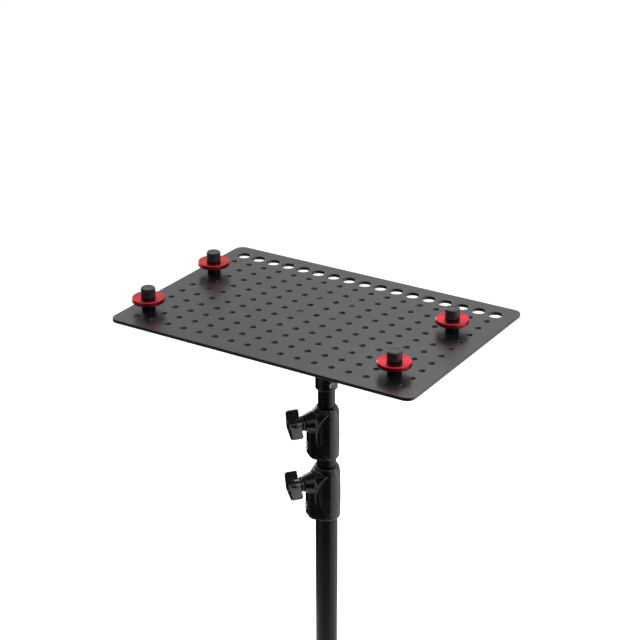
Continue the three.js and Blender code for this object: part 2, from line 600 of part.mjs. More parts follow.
// Collar: the casting that carries a tube's upper end and locks the next tube with a knob
function addCollar(name, slidingRadius, carriedRadius, bottom, height, knobTurn) {
  const sleeveRadius = carriedRadius + SEAT_GAP + COLLAR_WALL;
  const neckRadius = slidingRadius + RUN_GAP + COLLAR_NECK_WALL;
  const noseReach = sleeveRadius + LOBE_REACH_PAST_SLEEVE;
  const bossReach = noseReach + BOSS_PAST_NOSE;
  const sleeve = turned([
    [0, 0],
    [sleeveRadius - COLLAR_FOOT_CHAMFER, 0],
    [sleeveRadius, COLLAR_FOOT_CHAMFER],
    [sleeveRadius + COLLAR_BULGE, COLLAR_BODY_HEIGHT / 2],
    [sleeveRadius, COLLAR_BODY_HEIGHT],
    [neckRadius + COLLAR_NECK_WALL, height - COLLAR_NECK_HEIGHT],
    [neckRadius, height],
    [0, height],
  ], TUBE_SIDES);
  const plan = new THREE.ExtrudeGeometry(lobePlan(sleeveRadius + COLLAR_BULGE, noseReach), {
    depth: COLLAR_BODY_HEIGHT,
    bevelEnabled: false,
    curveSegments: LOBE_STEPS,
  });
  const side = new THREE.ExtrudeGeometry(lobeSide(sleeveRadius, noseReach, bossReach), {
    depth: 2 * (noseReach + CUT_OVERRUN),
    bevelEnabled: false,
    curveSegments: CORNER_STEPS,
  });
  side.translate(0, 0, -(noseReach + CUT_OVERRUN));
  side.rotateX(Math.PI / 2);
  const creaseCentre = noseReach - CREASE_BACK_FROM_NOSE - CREASE_RADIUS;
  const creaseHalf = noseReach + CUT_OVERRUN;
  const crease = rod(CREASE_RADIUS, -creaseHalf, creaseHalf, CREASE_SIDES);
  crease.rotateX(Math.PI / 2);
  crease.translate(creaseCentre, 0, CREASE_HEIGHT);
  const lobe = cut(common(plan, side), crease);
  const boss = turned([
    [0, 0],
    [BOSS_BASE_RADIUS, bossReach - BOSS_LENGTH],
    [BOSS_END_RADIUS, bossReach],
    [0, bossReach],
  ], KNOB_SIDES);
  boss.rotateY(Math.PI / 2);
  boss.translate(0, 0, BOSS_HEIGHT);
  const upperBore = rod(
    cornerRadius(slidingRadius + RUN_GAP, TUBE_SIDES), -CUT_OVERRUN, height + CUT_OVERRUN, TUBE_SIDES,
  );
  const lowerBore = rod(
    cornerRadius(carriedRadius + SEAT_GAP, TUBE_SIDES), -CUT_OVERRUN, COLLAR_STEP_HEIGHT, TUBE_SIDES,
  );
  const rivetHeights = [RIVET_HEIGHT, RIVET_HEIGHT + RIVET_SPACING];
  const rivetHoles = rivetHeights.map((rivetHeight) => crossRod(
    cornerRadius(RIVET_SHANK_RADIUS + SEAT_GAP, RIVET_SIDES),
    noseReach - RIVET_SHANK_LENGTH - SEAT_GAP,
    noseReach + CUT_OVERRUN,
    rivetHeight,
    RIVET_SIDES,
  ));
  const body = cut(
    join(sleeve, lobe, boss),
    upperBore,
    lowerBore,
    tighteningBore(0, bossReach, BOSS_HEIGHT),
    ...rivetHoles,
  );
  addPiece(`${name}_collar`, body, blackCasting(), [0, columnY, bottom], [0, 0, KNOB_ANGLE]);
  const screwTip = slidingRadius + RUN_GAP;
  addTighteningKnob(`${name}_collar`, bossReach, screwTip, KNOB_ANGLE, knobTurn, bottom + BOSS_HEIGHT);
  rivetHeights.forEach((rivetHeight, index) => {
    const rivet = turned([
      [0, noseReach - RIVET_SHANK_LENGTH],
      [RIVET_SHANK_RADIUS, noseReach - RIVET_SHANK_LENGTH],
      [RIVET_SHANK_RADIUS, noseReach + SEAT_GAP],
      [RIVET_HEAD_RADIUS, noseReach + SEAT_GAP],
      [RIVET_SHANK_RADIUS, noseReach + SEAT_GAP + RIVET_HEAD_HEIGHT],
      [0, noseReach + SEAT_GAP + RIVET_HEAD_HEIGHT],
    ], RIVET_SIDES);
    rivet.rotateY(Math.PI / 2);
    const rivetName = `${name}_collar_rivet_${index + 1}`;
    addPiece(rivetName, rivet, zincSteel(), [0, columnY, bottom + rivetHeight], [0, 0, KNOB_ANGLE]);
  });
}

function addTube(name, radius, bottom, top) {
  addPiece(name, ring(radius - TUBE_WALL, radius, bottom, top, TUBE_SIDES), blackPaint(), [0, columnY, 0]);
}

// Centre line of a leg in its own upright plane: out of the hub, round the bend and down to the boot
function legCurve(height) {
  const drop = height - LEG_END_HEIGHT - LEG_BEND_RADIUS * (1 - Math.cos(legSlope));
  const bendReach = LEG_BEND_RADIUS * Math.sin(legSlope);
  const bendStart = LEG_SPREAD - drop / Math.tan(legSlope) - bendReach;
  const bendEnd = new THREE.Vector3(bendStart + bendReach, 0, LEG_END_HEIGHT + drop);
  const bendCorner = new THREE.Vector3(bendStart + LEG_BEND_RADIUS * Math.tan(legSlope / 2), 0, height);
  const path = new THREE.CurvePath();
  path.add(new THREE.LineCurve3(
    new THREE.Vector3(SOCKET_REACH - LEG_IN_SOCKET, 0, height),
    new THREE.Vector3(bendStart, 0, height),
  ));
  path.add(new THREE.QuadraticBezierCurve3(new THREE.Vector3(bendStart, 0, height), bendCorner, bendEnd));
  path.add(new THREE.LineCurve3(bendEnd, new THREE.Vector3(LEG_SPREAD, 0, LEG_END_HEIGHT)));
  return path;
}

function legTube(height) {
  const section = new THREE.Shape(polygonHole(0, 0, LEG_RADIUS * Math.cos(Math.PI / LEG_SIDES), LEG_SIDES)
    .getPoints());
  const bore = (LEG_RADIUS - LEG_WALL) * Math.cos(Math.PI / LEG_BORE_SIDES);
  section.holes.push(polygonHole(0, 0, bore, LEG_BORE_SIDES));
  return new THREE.ExtrudeGeometry(section, { steps: LEG_STEPS, extrudePath: legCurve(height) });
}

// Leg hub: a ring round the column with a socket for the leg
function hubGeometry(centre) {
  const bottom = -HUB_HEIGHT / 2;
  const top = HUB_HEIGHT / 2;
  const body = turned([
    [0, bottom],
    [HUB_RADIUS - HUB_CHAMFER, bottom],
    [HUB_RADIUS, bottom + HUB_CHAMFER],
    [HUB_RADIUS, top - HUB_CHAMFER],
    [HUB_RADIUS - HUB_CHAMFER, top],
    [0, top],
  ], TUBE_SIDES);
  const socket = crossRod(SOCKET_RADIUS, 0, SOCKET_REACH, 0, KNOB_SIDES);
  const legBore = crossRod(
    cornerRadius(LEG_RADIUS + SEAT_GAP, KNOB_SIDES),
    SOCKET_REACH - LEG_IN_SOCKET - SEAT_GAP,
    SOCKET_REACH + CUT_OVERRUN,
    0,
    KNOB_SIDES,
  );
  const columnBore = rod(
    cornerRadius(columnRadius + RUN_GAP, TUBE_SIDES), bottom - CUT_OVERRUN, top + CUT_OVERRUN, TUBE_SIDES,
  );
  const hub = cut(join(body, socket), legBore, columnBore);
  hub.translate(0, 0, centre);
  return hub;
}

// Rubber boot over the leg's end, cut flat where it stands on the floor
function bootGeometry() {
  const endToFloor = LEG_END_HEIGHT / Math.sin(legSlope) + bootRadius / Math.tan(legSlope);
  const boot = turned([
    [0, -endToFloor],
    [bootRadius, -endToFloor],
    [bootRadius, BOOT_LENGTH - BOOT_EASE],
    [bootRadius - BOOT_EASE, BOOT_LENGTH],
    [cornerRadius(LEG_RADIUS + SEAT_GAP, KNOB_SIDES), BOOT_LENGTH],
    [cornerRadius(LEG_RADIUS + SEAT_GAP, KNOB_SIDES), -SEAT_GAP],
    [0, -SEAT_GAP],
  ], KNOB_SIDES);
  boot.rotateY(legSlope - Math.PI / 2);
  boot.translate(LEG_SPREAD, 0, LEG_END_HEIGHT);
  const keep = 2 * backReach;
  const aboveFloor = new THREE.BoxGeometry(keep, keep, keep);
  aboveFloor.translate(LEG_SPREAD, 0, keep / 2);
  return common(boot, aboveFloor);
}

function addLeg(name, level, angle) {
  const centre = LOWEST_HUB_CLEARANCE + HUB_HEIGHT / 2 + level * hubPitch;
  const place = [0, columnY, 0];
  addPiece(`${name}_hub`, hubGeometry(centre), blackCasting(), place, [0, 0, angle]);
  addPiece(`${name}_leg`, legTube(centre), blackPaint(), place, [0, 0, angle]);
  addPiece(`${name}_boot`, bootGeometry(), rubber(), place, [0, 0, angle]);
}

// Fittings of the column's foot: washers between the hubs, a retaining ring above and a plug below
function addBaseFittings() {
  const place = [0, columnY, 0];
  const bore = cornerRadius(columnRadius + SEAT_GAP, TUBE_SIDES);
  for (let level = 1; level <= 2; level += 1) {
    const bottom = LOWEST_HUB_CLEARANCE + level * hubPitch - WASHER_THICKNESS - SEAT_GAP;
    const washer = ring(bore, columnRadius + WASHER_OVERHANG, bottom, bottom + WASHER_THICKNESS, TUBE_SIDES);
    addPiece(`hub_washer_${level}`, washer, nylon(), place);
  }
  const bottom = LOWEST_HUB_CLEARANCE + 2 * hubPitch + HUB_HEIGHT + SEAT_GAP;
  const outer = columnRadius + RETAINER_WALL;
  const retainer = ring(bore, outer, bottom, bottom + RETAINER_HEIGHT, TUBE_SIDES, RETAINER_CHAMFER);
  const screwHeight = bottom + RETAINER_HEIGHT / 2;
  const hole = crossRod(
    cornerRadius(GRUB_RADIUS + SEAT_GAP, SCREW_SIDES), 0, outer + CUT_OVERRUN, screwHeight, SCREW_SIDES,
  );
  addPiece('hub_retainer', cut(retainer, hole), blackCasting(), place);
  const screw = crossRod(GRUB_RADIUS, columnRadius + SEAT_GAP, outer - GRUB_RECESS, screwHeight, SCREW_SIDES);
  addPiece('hub_retainer_grub_screw', screw, blackSteel(), place);
  const plug = turned([
    [0, columnBottom - SEAT_GAP - PLUG_FLANGE_HEIGHT],
    [columnRadius - CLAMP_EDGE_EASE, columnBottom - SEAT_GAP - PLUG_FLANGE_HEIGHT],
    [columnRadius, columnBottom - SEAT_GAP],
    [columnRadius - TUBE_WALL - SEAT_GAP, columnBottom - SEAT_GAP],
    [columnRadius - TUBE_WALL - SEAT_GAP, columnBottom + PLUG_SPIGOT_HEIGHT],
    [0, columnBottom + PLUG_SPIGOT_HEIGHT],
  ], TUBE_SIDES);
  addPiece('column_plug', plug, rubber(), place);
}

addPiece('table_plate', plateGeometry(), blackAnodised(), [0, 0, plateUnderside]);
addClamp('clamp_front_left', CLAMP_LEFT_COLUMN, CLAMP_FRONT_ROW);
addClamp('clamp_back_left', CLAMP_LEFT_COLUMN, CLAMP_BACK_ROW);
addClamp('clamp_front_right', CLAMP_RIGHT_COLUMN, CLAMP_FRONT_ROW);
addClamp('clamp_back_right', CLAMP_RIGHT_COLUMN, CLAMP_BACK_ROW);
addReceiver();
addSpigot();
addRiserCap();
addTube('top_riser', TOP_RISER_RADIUS, riserBottom, riserCapBottom + RISER_IN_CAP);
addCollar(
  'upper', TOP_RISER_RADIUS, middleRiserRadius, upperCollarBottom, upperCollarHeight, UPPER_KNOB_TURN,
);
addTube('middle_riser', middleRiserRadius, riserBottom, upperCollarBottom + tubeSeatInCollar);
addCollar('lower', middleRiserRadius, columnRadius, lowerCollarBottom, lowerCollarHeight, LOWER_KNOB_TURN);
addTube('base_column', columnRadius, columnBottom, lowerCollarBottom + tubeSeatInCollar);
addLeg('back', 0, BACK_LEG_ANGLE);
addLeg('left', 1, BACK_LEG_ANGLE + LEG_FAN_ANGLE);
addLeg('right', 2, BACK_LEG_ANGLE - LEG_FAN_ANGLE);
addBaseFittings();

export default table;
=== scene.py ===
import json
import math
import bpy
import bmesh
from mathutils import Euler, Matrix, Vector

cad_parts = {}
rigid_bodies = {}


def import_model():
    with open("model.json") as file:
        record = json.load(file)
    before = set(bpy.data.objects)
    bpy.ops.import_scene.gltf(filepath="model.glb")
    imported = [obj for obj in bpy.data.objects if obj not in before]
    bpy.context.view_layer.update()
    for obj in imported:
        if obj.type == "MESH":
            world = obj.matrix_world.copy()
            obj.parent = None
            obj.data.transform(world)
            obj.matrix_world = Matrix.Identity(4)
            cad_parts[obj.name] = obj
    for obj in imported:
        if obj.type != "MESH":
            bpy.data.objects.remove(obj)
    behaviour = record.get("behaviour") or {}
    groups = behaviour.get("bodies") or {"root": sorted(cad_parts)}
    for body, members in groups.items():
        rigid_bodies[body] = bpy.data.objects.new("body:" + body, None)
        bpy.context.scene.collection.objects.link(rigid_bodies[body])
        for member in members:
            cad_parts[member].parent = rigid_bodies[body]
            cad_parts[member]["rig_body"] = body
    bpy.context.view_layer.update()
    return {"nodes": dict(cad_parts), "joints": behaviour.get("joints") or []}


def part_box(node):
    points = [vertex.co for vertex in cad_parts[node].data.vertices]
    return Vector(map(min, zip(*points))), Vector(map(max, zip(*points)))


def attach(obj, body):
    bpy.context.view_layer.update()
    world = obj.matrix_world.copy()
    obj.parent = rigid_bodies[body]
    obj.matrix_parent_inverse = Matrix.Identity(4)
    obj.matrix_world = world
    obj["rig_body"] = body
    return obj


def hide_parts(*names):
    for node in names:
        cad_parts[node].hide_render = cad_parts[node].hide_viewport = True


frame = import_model()
joints = {joint["name"]: joint for joint in frame["joints"]}
print("frame loaded with", len(frame["nodes"]), "nodes")

mm = 0.001  # sizes below are millimetres, and meshes are scaled to the frame's metres as they are made
seatGap = 0.3  # between pieces that are fixed to each other
runGap = 0.4  # between pieces that slide or turn
overrun = 5  # how far a cutting tool reaches past the face that it cuts
clampNames = ("front_left", "back_left", "front_right", "back_right")


def middleOf(node):
    low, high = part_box(node)
    return (low + high) / 2


def sizeOf(node):
    low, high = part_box(node)
    return (high - low) / mm


def uprightSizes(node):  # half width, bottom and top of a node, in millimetres
    low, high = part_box(node)
    return sizeOf(node).x / 2, low.z / mm, high.z / mm


def toObject(name, data):
    thing = bpy.data.objects.new(name, data)
    bpy.context.scene.collection.objects.link(thing)
    return thing


columnAxis = middleOf("spigot") * Vector((1, 1, 0))


def onColumn(height):  # a point on the column's axis, in metres
    return columnAxis + Vector((0, 0, height))


def bearing(direction):  # its angle about +Z, in radians from +X
    return math.atan2(direction[1], direction[0])


def toLinear(hexColour):  # sRGB hex to the linear numbers that sockets take
    channels = [int(hexColour[start:start + 2], 16) / 255 for start in (1, 3, 5)]
    linear = [c / 12.92 if c <= 0.04045 else ((c + 0.055) / 1.055) ** 2.4 for c in channels]
    return (*linear, 1)


# Camera, floor and light
def addCamera():
    view = {
        "azimuth": 32.01, "elevation": 23.95, "roll": -0.13, "place": (1.1174, -1.9101, 1.8760),
        "focalLength": 96.5, "sensorWidth": 36, "farthest": 200,
    }
    camera = toObject("camera", bpy.data.cameras.new("camera"))
    camera.data.lens = view["focalLength"]
    camera.data.sensor_width = view["sensorWidth"]
    camera.data.clip_end = view["farthest"]
    around, above, tilt = (math.radians(view[key]) for key in ("azimuth", "elevation", "roll"))
    turn = Euler((0, 0, around)).to_matrix() @ Euler((math.pi / 2 - above, 0, 0)).to_matrix()
    turn = turn @ Euler((0, 0, tilt)).to_matrix()
    camera.matrix_world = Matrix.Translation(view["place"]) @ turn.to_4x4()
    bpy.context.scene.camera = camera


def addNode(tree, kind, settings=None, links=None):
    node = tree.nodes.new(kind)
    for key, value in (settings or {}).items():
        if isinstance(key, int) or key in node.inputs:
            node.inputs[key].default_value = value
        else:
            setattr(node, key, value)
    for key, socket in (links or {}).items():
        tree.links.new(socket, node.inputs[key])
    return node


def seenDirectly(tree):  # 1 for rays from the camera, and for those that metal and glass send on
    path = addNode(tree, "ShaderNodeLightPath")
    pair = addNode(tree, "ShaderNodeMath", {"operation": "MAXIMUM"},
                   {0: path.outputs["Is Camera Ray"], 1: path.outputs["Is Glossy Ray"]})
    return addNode(tree, "ShaderNodeMath", {"operation": "MAXIMUM"},
                   {0: pair.outputs[0], 1: path.outputs["Is Transmission Ray"]})


def bareMaterial(name):  # a material without a shader, its tree and the socket that takes one
    material = bpy.data.materials.new(name)
    material.use_nodes = True
    tree = material.node_tree
    tree.nodes.remove(tree.nodes["Principled BSDF"])
    return material, tree, tree.nodes["Material Output"].inputs["Surface"]


def addSheet(name, corners, faces, material):
    mesh = bpy.data.meshes.new(name)
    mesh.from_pydata(corners, [], faces)
    mesh.materials.append(material)
    return toObject(name, mesh)


def addFloor():
    floor = {"side": 120, "colour": "#f2f2f2", "glow": 0.42}  # the glow lifts the lit paper to white
    material, tree, surface = bareMaterial("white paper sweep, matt")
    paper = addNode(tree, "ShaderNodeBsdfDiffuse", {"Color": toLinear(floor["colour"])})
    share = addNode(tree, "ShaderNodeMath", {"operation": "MULTIPLY", 1: floor["glow"]},
                    {0: seenDirectly(tree).outputs[0]})
    glow = addNode(tree, "ShaderNodeEmission", {"Color": (1, 1, 1, 1)}, {"Strength": share.outputs[0]})
    both = addNode(tree, "ShaderNodeAddShader", {}, {0: paper.outputs[0], 1: glow.outputs[0]})
    tree.links.new(both.outputs[0], surface)
    half = floor["side"] / 2
    corners = [(-half, -half, 0), (half, -half, 0), (half, half, 0), (-half, half, 0)]
    sweep = addSheet("floor", corners, [(0, 1, 2, 3)], material)


def addFlags():  # cards that only reflections see: they draw the dark stripes on the black pieces
    flags = {
        "radius": 0.75, "step": 3,
        "panels": (  # start and end in degrees, height in metres, colour
            (79, 145, 0.8, "#050505"), (145, 195, 0.72, "#050505"), (195, 205, 1.15, "#050505"),
            (205, 262, 1.15, "#8c8c8c"), (262, 285, 1.15, "#050505"), (285, 312, 0.95, "#050505"),
            (312, 338, 1.15, "#050505"),
        ),
    }
    for start, end, height, colour in flags["panels"]:
        cloth, tree, surface = bareMaterial("flag cloth, matt")
        matt = addNode(tree, "ShaderNodeBsdfDiffuse", {"Color": toLinear(colour)})
        tree.links.new(matt.outputs[0], surface)
        corners, faces = [], []
        count = math.ceil((end - start) / flags["step"])
        for step in range(count + 1):
            angle = math.radians(start + (end - start) * step / count)
            across = (flags["radius"] * math.cos(angle), flags["radius"] * math.sin(angle))
            corners += [(*across, 0), (*across, height)]
            if step:
                faces.append((2 * step - 2, 2 * step, 2 * step + 1, 2 * step - 1))
        flag = addSheet("flag", corners, faces, cloth)
        flag.location = columnAxis
        flag.visible_camera = flag.visible_diffuse = flag.visible_transmission = flag.visible_shadow = False


def addSky():
    sky = {"colour": "#ffffff", "strength": 0.3}
    world = bpy.data.worlds.new("studio")
    bpy.context.scene.world = world
    world.use_nodes = True
    tree = world.node_tree
    tree.nodes["Background"].inputs["Color"].default_value = toLinear(sky["colour"])
    tree.nodes["Background"].inputs["Strength"].default_value = sky["strength"]
    white = addNode(tree, "ShaderNodeBackground", {"Color": (1, 1, 1, 1), "Strength": 1})
    mix = addNode(tree, "ShaderNodeMixShader", {}, {
        0: seenDirectly(tree).outputs[0],
        1: tree.nodes["Background"].outputs[0],
        2: white.outputs[0],
    })
    tree.links.new(mix.outputs[0], tree.nodes["World Output"].inputs["Surface"])


def addLamp(name, lamp):
    kind = "AREA" if "size" in lamp else "SUN"
    light = bpy.data.lights.new(name, kind)
    light.energy = lamp["power"]
    if kind == "AREA":
        light.shape = "RECTANGLE"
        light.size, light.size_y = lamp["size"]
    else:
        light.angle = math.radians(lamp["spread"])
    holder = toObject(name, light)
    holder.location = lamp["place"]
    beam = Vector(lamp["aim"]) - Vector(lamp["place"])
    holder.rotation_euler = beam.to_track_quat("-Z", "Y").to_euler()
    holder.visible_camera = False


def addLamps():
    lamps = {
        "ceiling light": {  # a sun
            "place": (-0.3, 1.2, 4.2), "aim": (0, -0.1, 0.9), "spread": 25, "power": 1.2,
        },
        "ceiling softbox": {
            "place": (-0.5, 1.6, 2.9), "aim": (0.1, -0.1, 0.9), "size": (1.2, 1.2), "power": 16,
        },
        "top softbox": {
            "place": (1.3, -0.5, 1.65), "aim": (0.1, -0.1, 0.9), "size": (0.9, 1.2), "power": 9,
        },
        "right softbox": {
            "place": (1.41, 0.65, 0.6), "aim": (0, -0.1, 0.7), "size": (0.7, 1.1), "power": 5.5,
        },
        "left softbox": {
            "place": (-1.8, 0.75, 1.2), "aim": (0, -0.1, 0.85), "size": (1.0, 0.6), "power": 11,
        },
    }
    for name, lamp in lamps.items():
        addLamp(name, lamp)


bpy.context.scene.view_settings.view_transform = "Standard"
addCamera()
addFloor()
addFlags()
addSky()
addLamps()
print("camera, floor and light set")


# Materials
def newMaterial(name, settings):
    material = bpy.data.materials.new(name)
    material.use_nodes = True
    shader = material.node_tree.nodes["Principled BSDF"]
    for socket, value in settings.items():
        shader.inputs[socket].default_value = value
    return material, material.node_tree, shader


def noise(tree, size, detail=3, stretch=(1, 1, 1)):  # size is the real width of one patch, in millimetres
    place = addNode(tree, "ShaderNodeTexCoord")
    scaled = addNode(tree, "ShaderNodeMapping", {"Scale": stretch}, {"Vector": place.outputs["Object"]})
    return addNode(tree, "ShaderNodeTexNoise", {"Scale": 1 / (size * mm), "Detail": detail},
                   {"Vector": scaled.outputs[0]}).outputs["Fac"]


def spread(tree, factor, low, high, fromLow=0.35, fromHigh=0.65):  # a pattern brought to a socket's range
    return addNode(tree, "ShaderNodeMapRange",
                   {"From Min": fromLow, "From Max": fromHigh, "To Min": low, "To Max": high},
                   {"Value": factor}).outputs[0]


def paint(tree, shader, share, first, second):  # a share of 0 shows the first colour, 1 the second
    colour = addNode(tree, "ShaderNodeMix", {"data_type": "RGBA", 6: toLinear(first), 7: toLinear(second)},
                     {0: share}).outputs[2]
    tree.links.new(colour, shader.inputs["Base Color"])


def roughen(tree, shader, pattern, low, high):
    tree.links.new(spread(tree, pattern, low, high), shader.inputs["Roughness"])


def emboss(tree, shader, relief, depth, strength):  # depth is the relief's real height, in millimetres
    bump = addNode(tree, "ShaderNodeBump", {"Strength": strength, "Distance": depth * mm},
                   {"Height": relief})
    tree.links.new(bump.outputs[0], shader.inputs["Normal"])


def edgeShare(tree):  # 1 on the crests of convex edges, where a finish rubs through first
    crest = addNode(tree, "ShaderNodeNewGeometry").outputs["Pointiness"]
    return spread(tree, crest, 0, 1, 0.52, 0.6)


def patchyMaterial(name, settings, look):  # two colours and two sheens in soft patches, over a fine relief
    material, tree, shader = newMaterial(name, settings)
    patches = noise(tree, look["patch"], look["detail"], look.get("stretch", (1, 1, 1)))
    paint(tree, shader, spread(tree, patches, 0, 1, *look.get("patchEdge", ())), *look["colours"])
    if "roughness" in look:
        roughen(tree, shader, patches, *look["roughness"])
    relief = noise(tree, look["grain"], look["grainDetail"]) if "grain" in look else patches
    emboss(tree, shader, relief, look["depth"], look["strength"])
    return material


def turnedRedAnodising():  # anodised aluminium, lathe turned: bright red, its fine rings spread the light
    look = {"red": "#ac1026", "deep": "#9f0d22", "edge": "#f5a8ac", "ring": 0.5, "cloud": 12}
    material, tree, shader = newMaterial("red anodised aluminium, turned", {
        "Metallic": 1, "Roughness": 0.3, "Anisotropic": 0.75, "Coat Weight": 0.5, "Coat Roughness": 0.2,
        "Specular Tint": toLinear(look["edge"]),
    })
    place = addNode(tree, "ShaderNodeTexCoord").outputs["Object"]
    flat = addNode(tree, "ShaderNodeVectorMath", {"operation": "MULTIPLY", 1: (1, 1, 0)}, {0: place})
    radius = addNode(tree, "ShaderNodeVectorMath", {"operation": "LENGTH"}, {0: flat.outputs[0]})
    rings = addNode(tree, "ShaderNodeTexNoise", {
        "noise_dimensions": "1D", "Scale": 1 / (look["ring"] * mm), "Detail": 2,
    }, {"W": radius.outputs["Value"]}).outputs["Fac"]
    paint(tree, shader, spread(tree, noise(tree, look["cloud"]), 0, 1), look["red"], look["deep"])
    roughen(tree, shader, rings, 0.26, 0.34)
    tangent = addNode(tree, "ShaderNodeTangent", {"direction_type": "RADIAL", "axis": "Z"})
    tree.links.new(tangent.outputs[0], shader.inputs["Tangent"])
    emboss(tree, shader, rings, depth=0.006, strength=0.2)  # tool marks, drawn larger than life
    return material


def mouldedNylon(name, roughness, ior):  # glass-filled nylon, moulded: near black, fine grain, soft sheen
    return patchyMaterial(name, {"IOR": ior, "Roughness": roughness}, {
        "colours": ("#08080a", "#111114"), "patch": 9, "detail": 4,
        "roughness": (roughness - 0.05, roughness + 0.06),
        "grain": 0.7, "grainDetail": 2, "depth": 0.03, "strength": 0.3,
    })


def powderCoatedCasting():  # zinc-aluminium casting, powder coated: black orange peel, rubbed on its edges
    look = {"black": "#0b0b0d", "rubbed": "#101113", "peel": 1.6, "dust": 18}
    material, tree, shader = newMaterial("black powder coat, cast metal", {
        "Roughness": 0.27, "Specular IOR Level": 0.4,
    })
    cloud = noise(tree, look["dust"], 4)
    wear = addNode(tree, "ShaderNodeMath", {"operation": "MULTIPLY"},
                   {0: edgeShare(tree), 1: spread(tree, cloud, 0, 1)}).outputs[0]
    paint(tree, shader, wear, look["black"], look["rubbed"])
    roughen(tree, shader, cloud, 0.24, 0.3)
    emboss(tree, shader, noise(tree, look["peel"], 1), depth=0.04, strength=0.3)
    return material


def steel(name, light, dark, roughness, grain):  # turned steel: its fine marks run round the piece
    return patchyMaterial(name, {"Metallic": 1, "Roughness": roughness}, {
        "colours": (light, dark), "patch": grain, "detail": 2, "stretch": (1, 1, 6),
        "roughness": (roughness - 0.05, roughness + 0.08), "depth": 0.01, "strength": 0.25,
    })


# Anodised aluminium sheet, bead blasted: an even satin sheen, faint smears, grit drawn larger than life
anodisedPlate = patchyMaterial("black anodised aluminium, bead blasted", {
    "Roughness": 0.3, "Specular IOR Level": 0.38,
}, {
    "colours": ("#0d0d0f", "#141517"), "patch": 45, "detail": 4, "roughness": (0.27, 0.33),
    "grain": 0.5, "grainDetail": 2, "depth": 0.02, "strength": 0.35,
})
anodisedDisc = turnedRedAnodising()
knobPlastic = mouldedNylon("black nylon, moulded and satin", 0.5, 1.46)
handlePlastic = mouldedNylon("black nylon, moulded and grained", 0.27, 1.53)
casting = powderCoatedCasting()
# Steel tube, baked enamel: smooth and dark, with long faint slide marks
tubePaint = patchyMaterial("black enamel, drawn tube", {"Roughness": 0.3, "Specular IOR Level": 0.22}, {
    "colours": ("#060607", "#121214"), "patch": 1.2, "detail": 3, "stretch": (1, 1, 0.02),
    "patchEdge": (0.55, 0.75), "roughness": (0.26, 0.34), "depth": 0.01, "strength": 0.25,
})
blackSteel = steel("black oxide steel, polished", "#2a2b2e", "#1c1d1f", 0.25, 1.5)
darkSteel = steel("black oxide steel, machined", "#3a3b3e", "#27282a", 0.36, 1.2)
brightSteel = steel("bare steel, machined", "#9a9da1", "#808387", 0.3, 1.2)
zincSteel = steel("zinc plated steel, turned", "#c9ccd0", "#a9adb2", 0.28, 1.0)
rivetSteel = steel("zinc plated steel, cold headed", "#dfe2e5", "#c4c8cc", 0.45, 0.8)
# Nylon washers, stamped: milky and a little see-through
nylonWasher = patchyMaterial("natural nylon, stamped", {
    "IOR": 1.53, "Roughness": 0.45, "Subsurface Weight": 0.2, "Subsurface Scale": 0.002,
}, {
    "colours": ("#d9d7cd", "#c9c6b9"), "patch": 6, "detail": 3,
    "grain": 0.8, "grainDetail": 2, "depth": 0.02, "strength": 0.3,
})
# Synthetic rubber, moulded: dull, dusty black
rubber = patchyMaterial("black rubber, moulded", {"IOR": 1.52, "Roughness": 0.75}, {
    "colours": ("#121212", "#24231f"), "patch": 14, "detail": 5, "roughness": (0.68, 0.85),
    "grain": 0.9, "grainDetail": 3, "depth": 0.06, "strength": 0.4,
})
print("materials made")


# Shape tools
def toMesh(name, shape, sharpAngle=32):
    bmesh.ops.recalc_face_normals(shape, faces=shape.faces)
    bmesh.ops.scale(shape, vec=(mm, mm, mm), verts=shape.verts)
    mesh = bpy.data.meshes.new(name)
    shape.to_mesh(mesh)
    shape.free()
    mesh.shade_smooth()
    mesh.set_sharp_from_angle(angle=math.radians(sharpAngle))
    return mesh


def settle(thing):  # the mesh with its modifiers applied
    bpy.context.view_layer.update()
    mesh = bpy.data.meshes.new_from_object(thing.evaluated_get(bpy.context.evaluated_depsgraph_get()))
    mesh.name = thing.data.name
    thing.modifiers.clear()
    thing.data = mesh


def combine(operation, body, *tools):
    for tool in tools:
        change = body.modifiers.new("combine", "BOOLEAN")
        change.operation = operation
        change.solver = "EXACT"
        change.object = tool
        settle(body)
        bpy.data.objects.remove(tool)
    return body


def addPiece(name, thing, material, *nodes):
    thing.name = name
    thing.data.name = name
    thing.data.materials.clear()
    thing.data.materials.append(material)
    steady = thing.modifiers.new("weighted normals", "WEIGHTED_NORMAL")
    steady.keep_sharp = True
    settle(thing)
    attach(thing, frame["nodes"][nodes[0]]["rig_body"])
    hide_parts(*nodes)


def eased(corners, steps=4):  # (across, up) or (across, up, radius) for a corner that is rounded
    points = []
    for index, corner in enumerate(corners):
        here = Vector(corner[:2])
        if len(corner) == 2:
            points.append(tuple(here))
            continue
        before = (Vector(corners[index - 1][:2]) - here).normalized()
        after = (Vector(corners[(index + 1) % len(corners)][:2]) - here).normalized()
        half = before.angle(after) / 2
        centre = here + (before + after).normalized() * corner[2] / math.sin(half)
        start = here + before * corner[2] / math.tan(half) - centre
        end = here + after * corner[2] / math.tan(half) - centre
        sweep = start.angle_signed(end)
        for step in range(steps + 1):
            turn = Matrix.Rotation(-sweep * step / steps, 2)
            points.append(tuple(centre + turn @ start))
    return points


def turned(profile, sides):  # a solid of revolution about +Z, closed on the axis or on itself
    shape = bmesh.new()
    rings = []
    onAxis = 1e-6
    for radius, height in profile:
        angles = [2 * math.pi * side / sides for side in range(sides if radius > onAxis else 1)]
        rings.append([shape.verts.new((radius * math.cos(angle), radius * math.sin(angle), height))
                      for angle in angles])
    if profile[0][0] > onAxis:
        rings.append(rings[0])
    bridgeRings(shape, rings)
    return shape


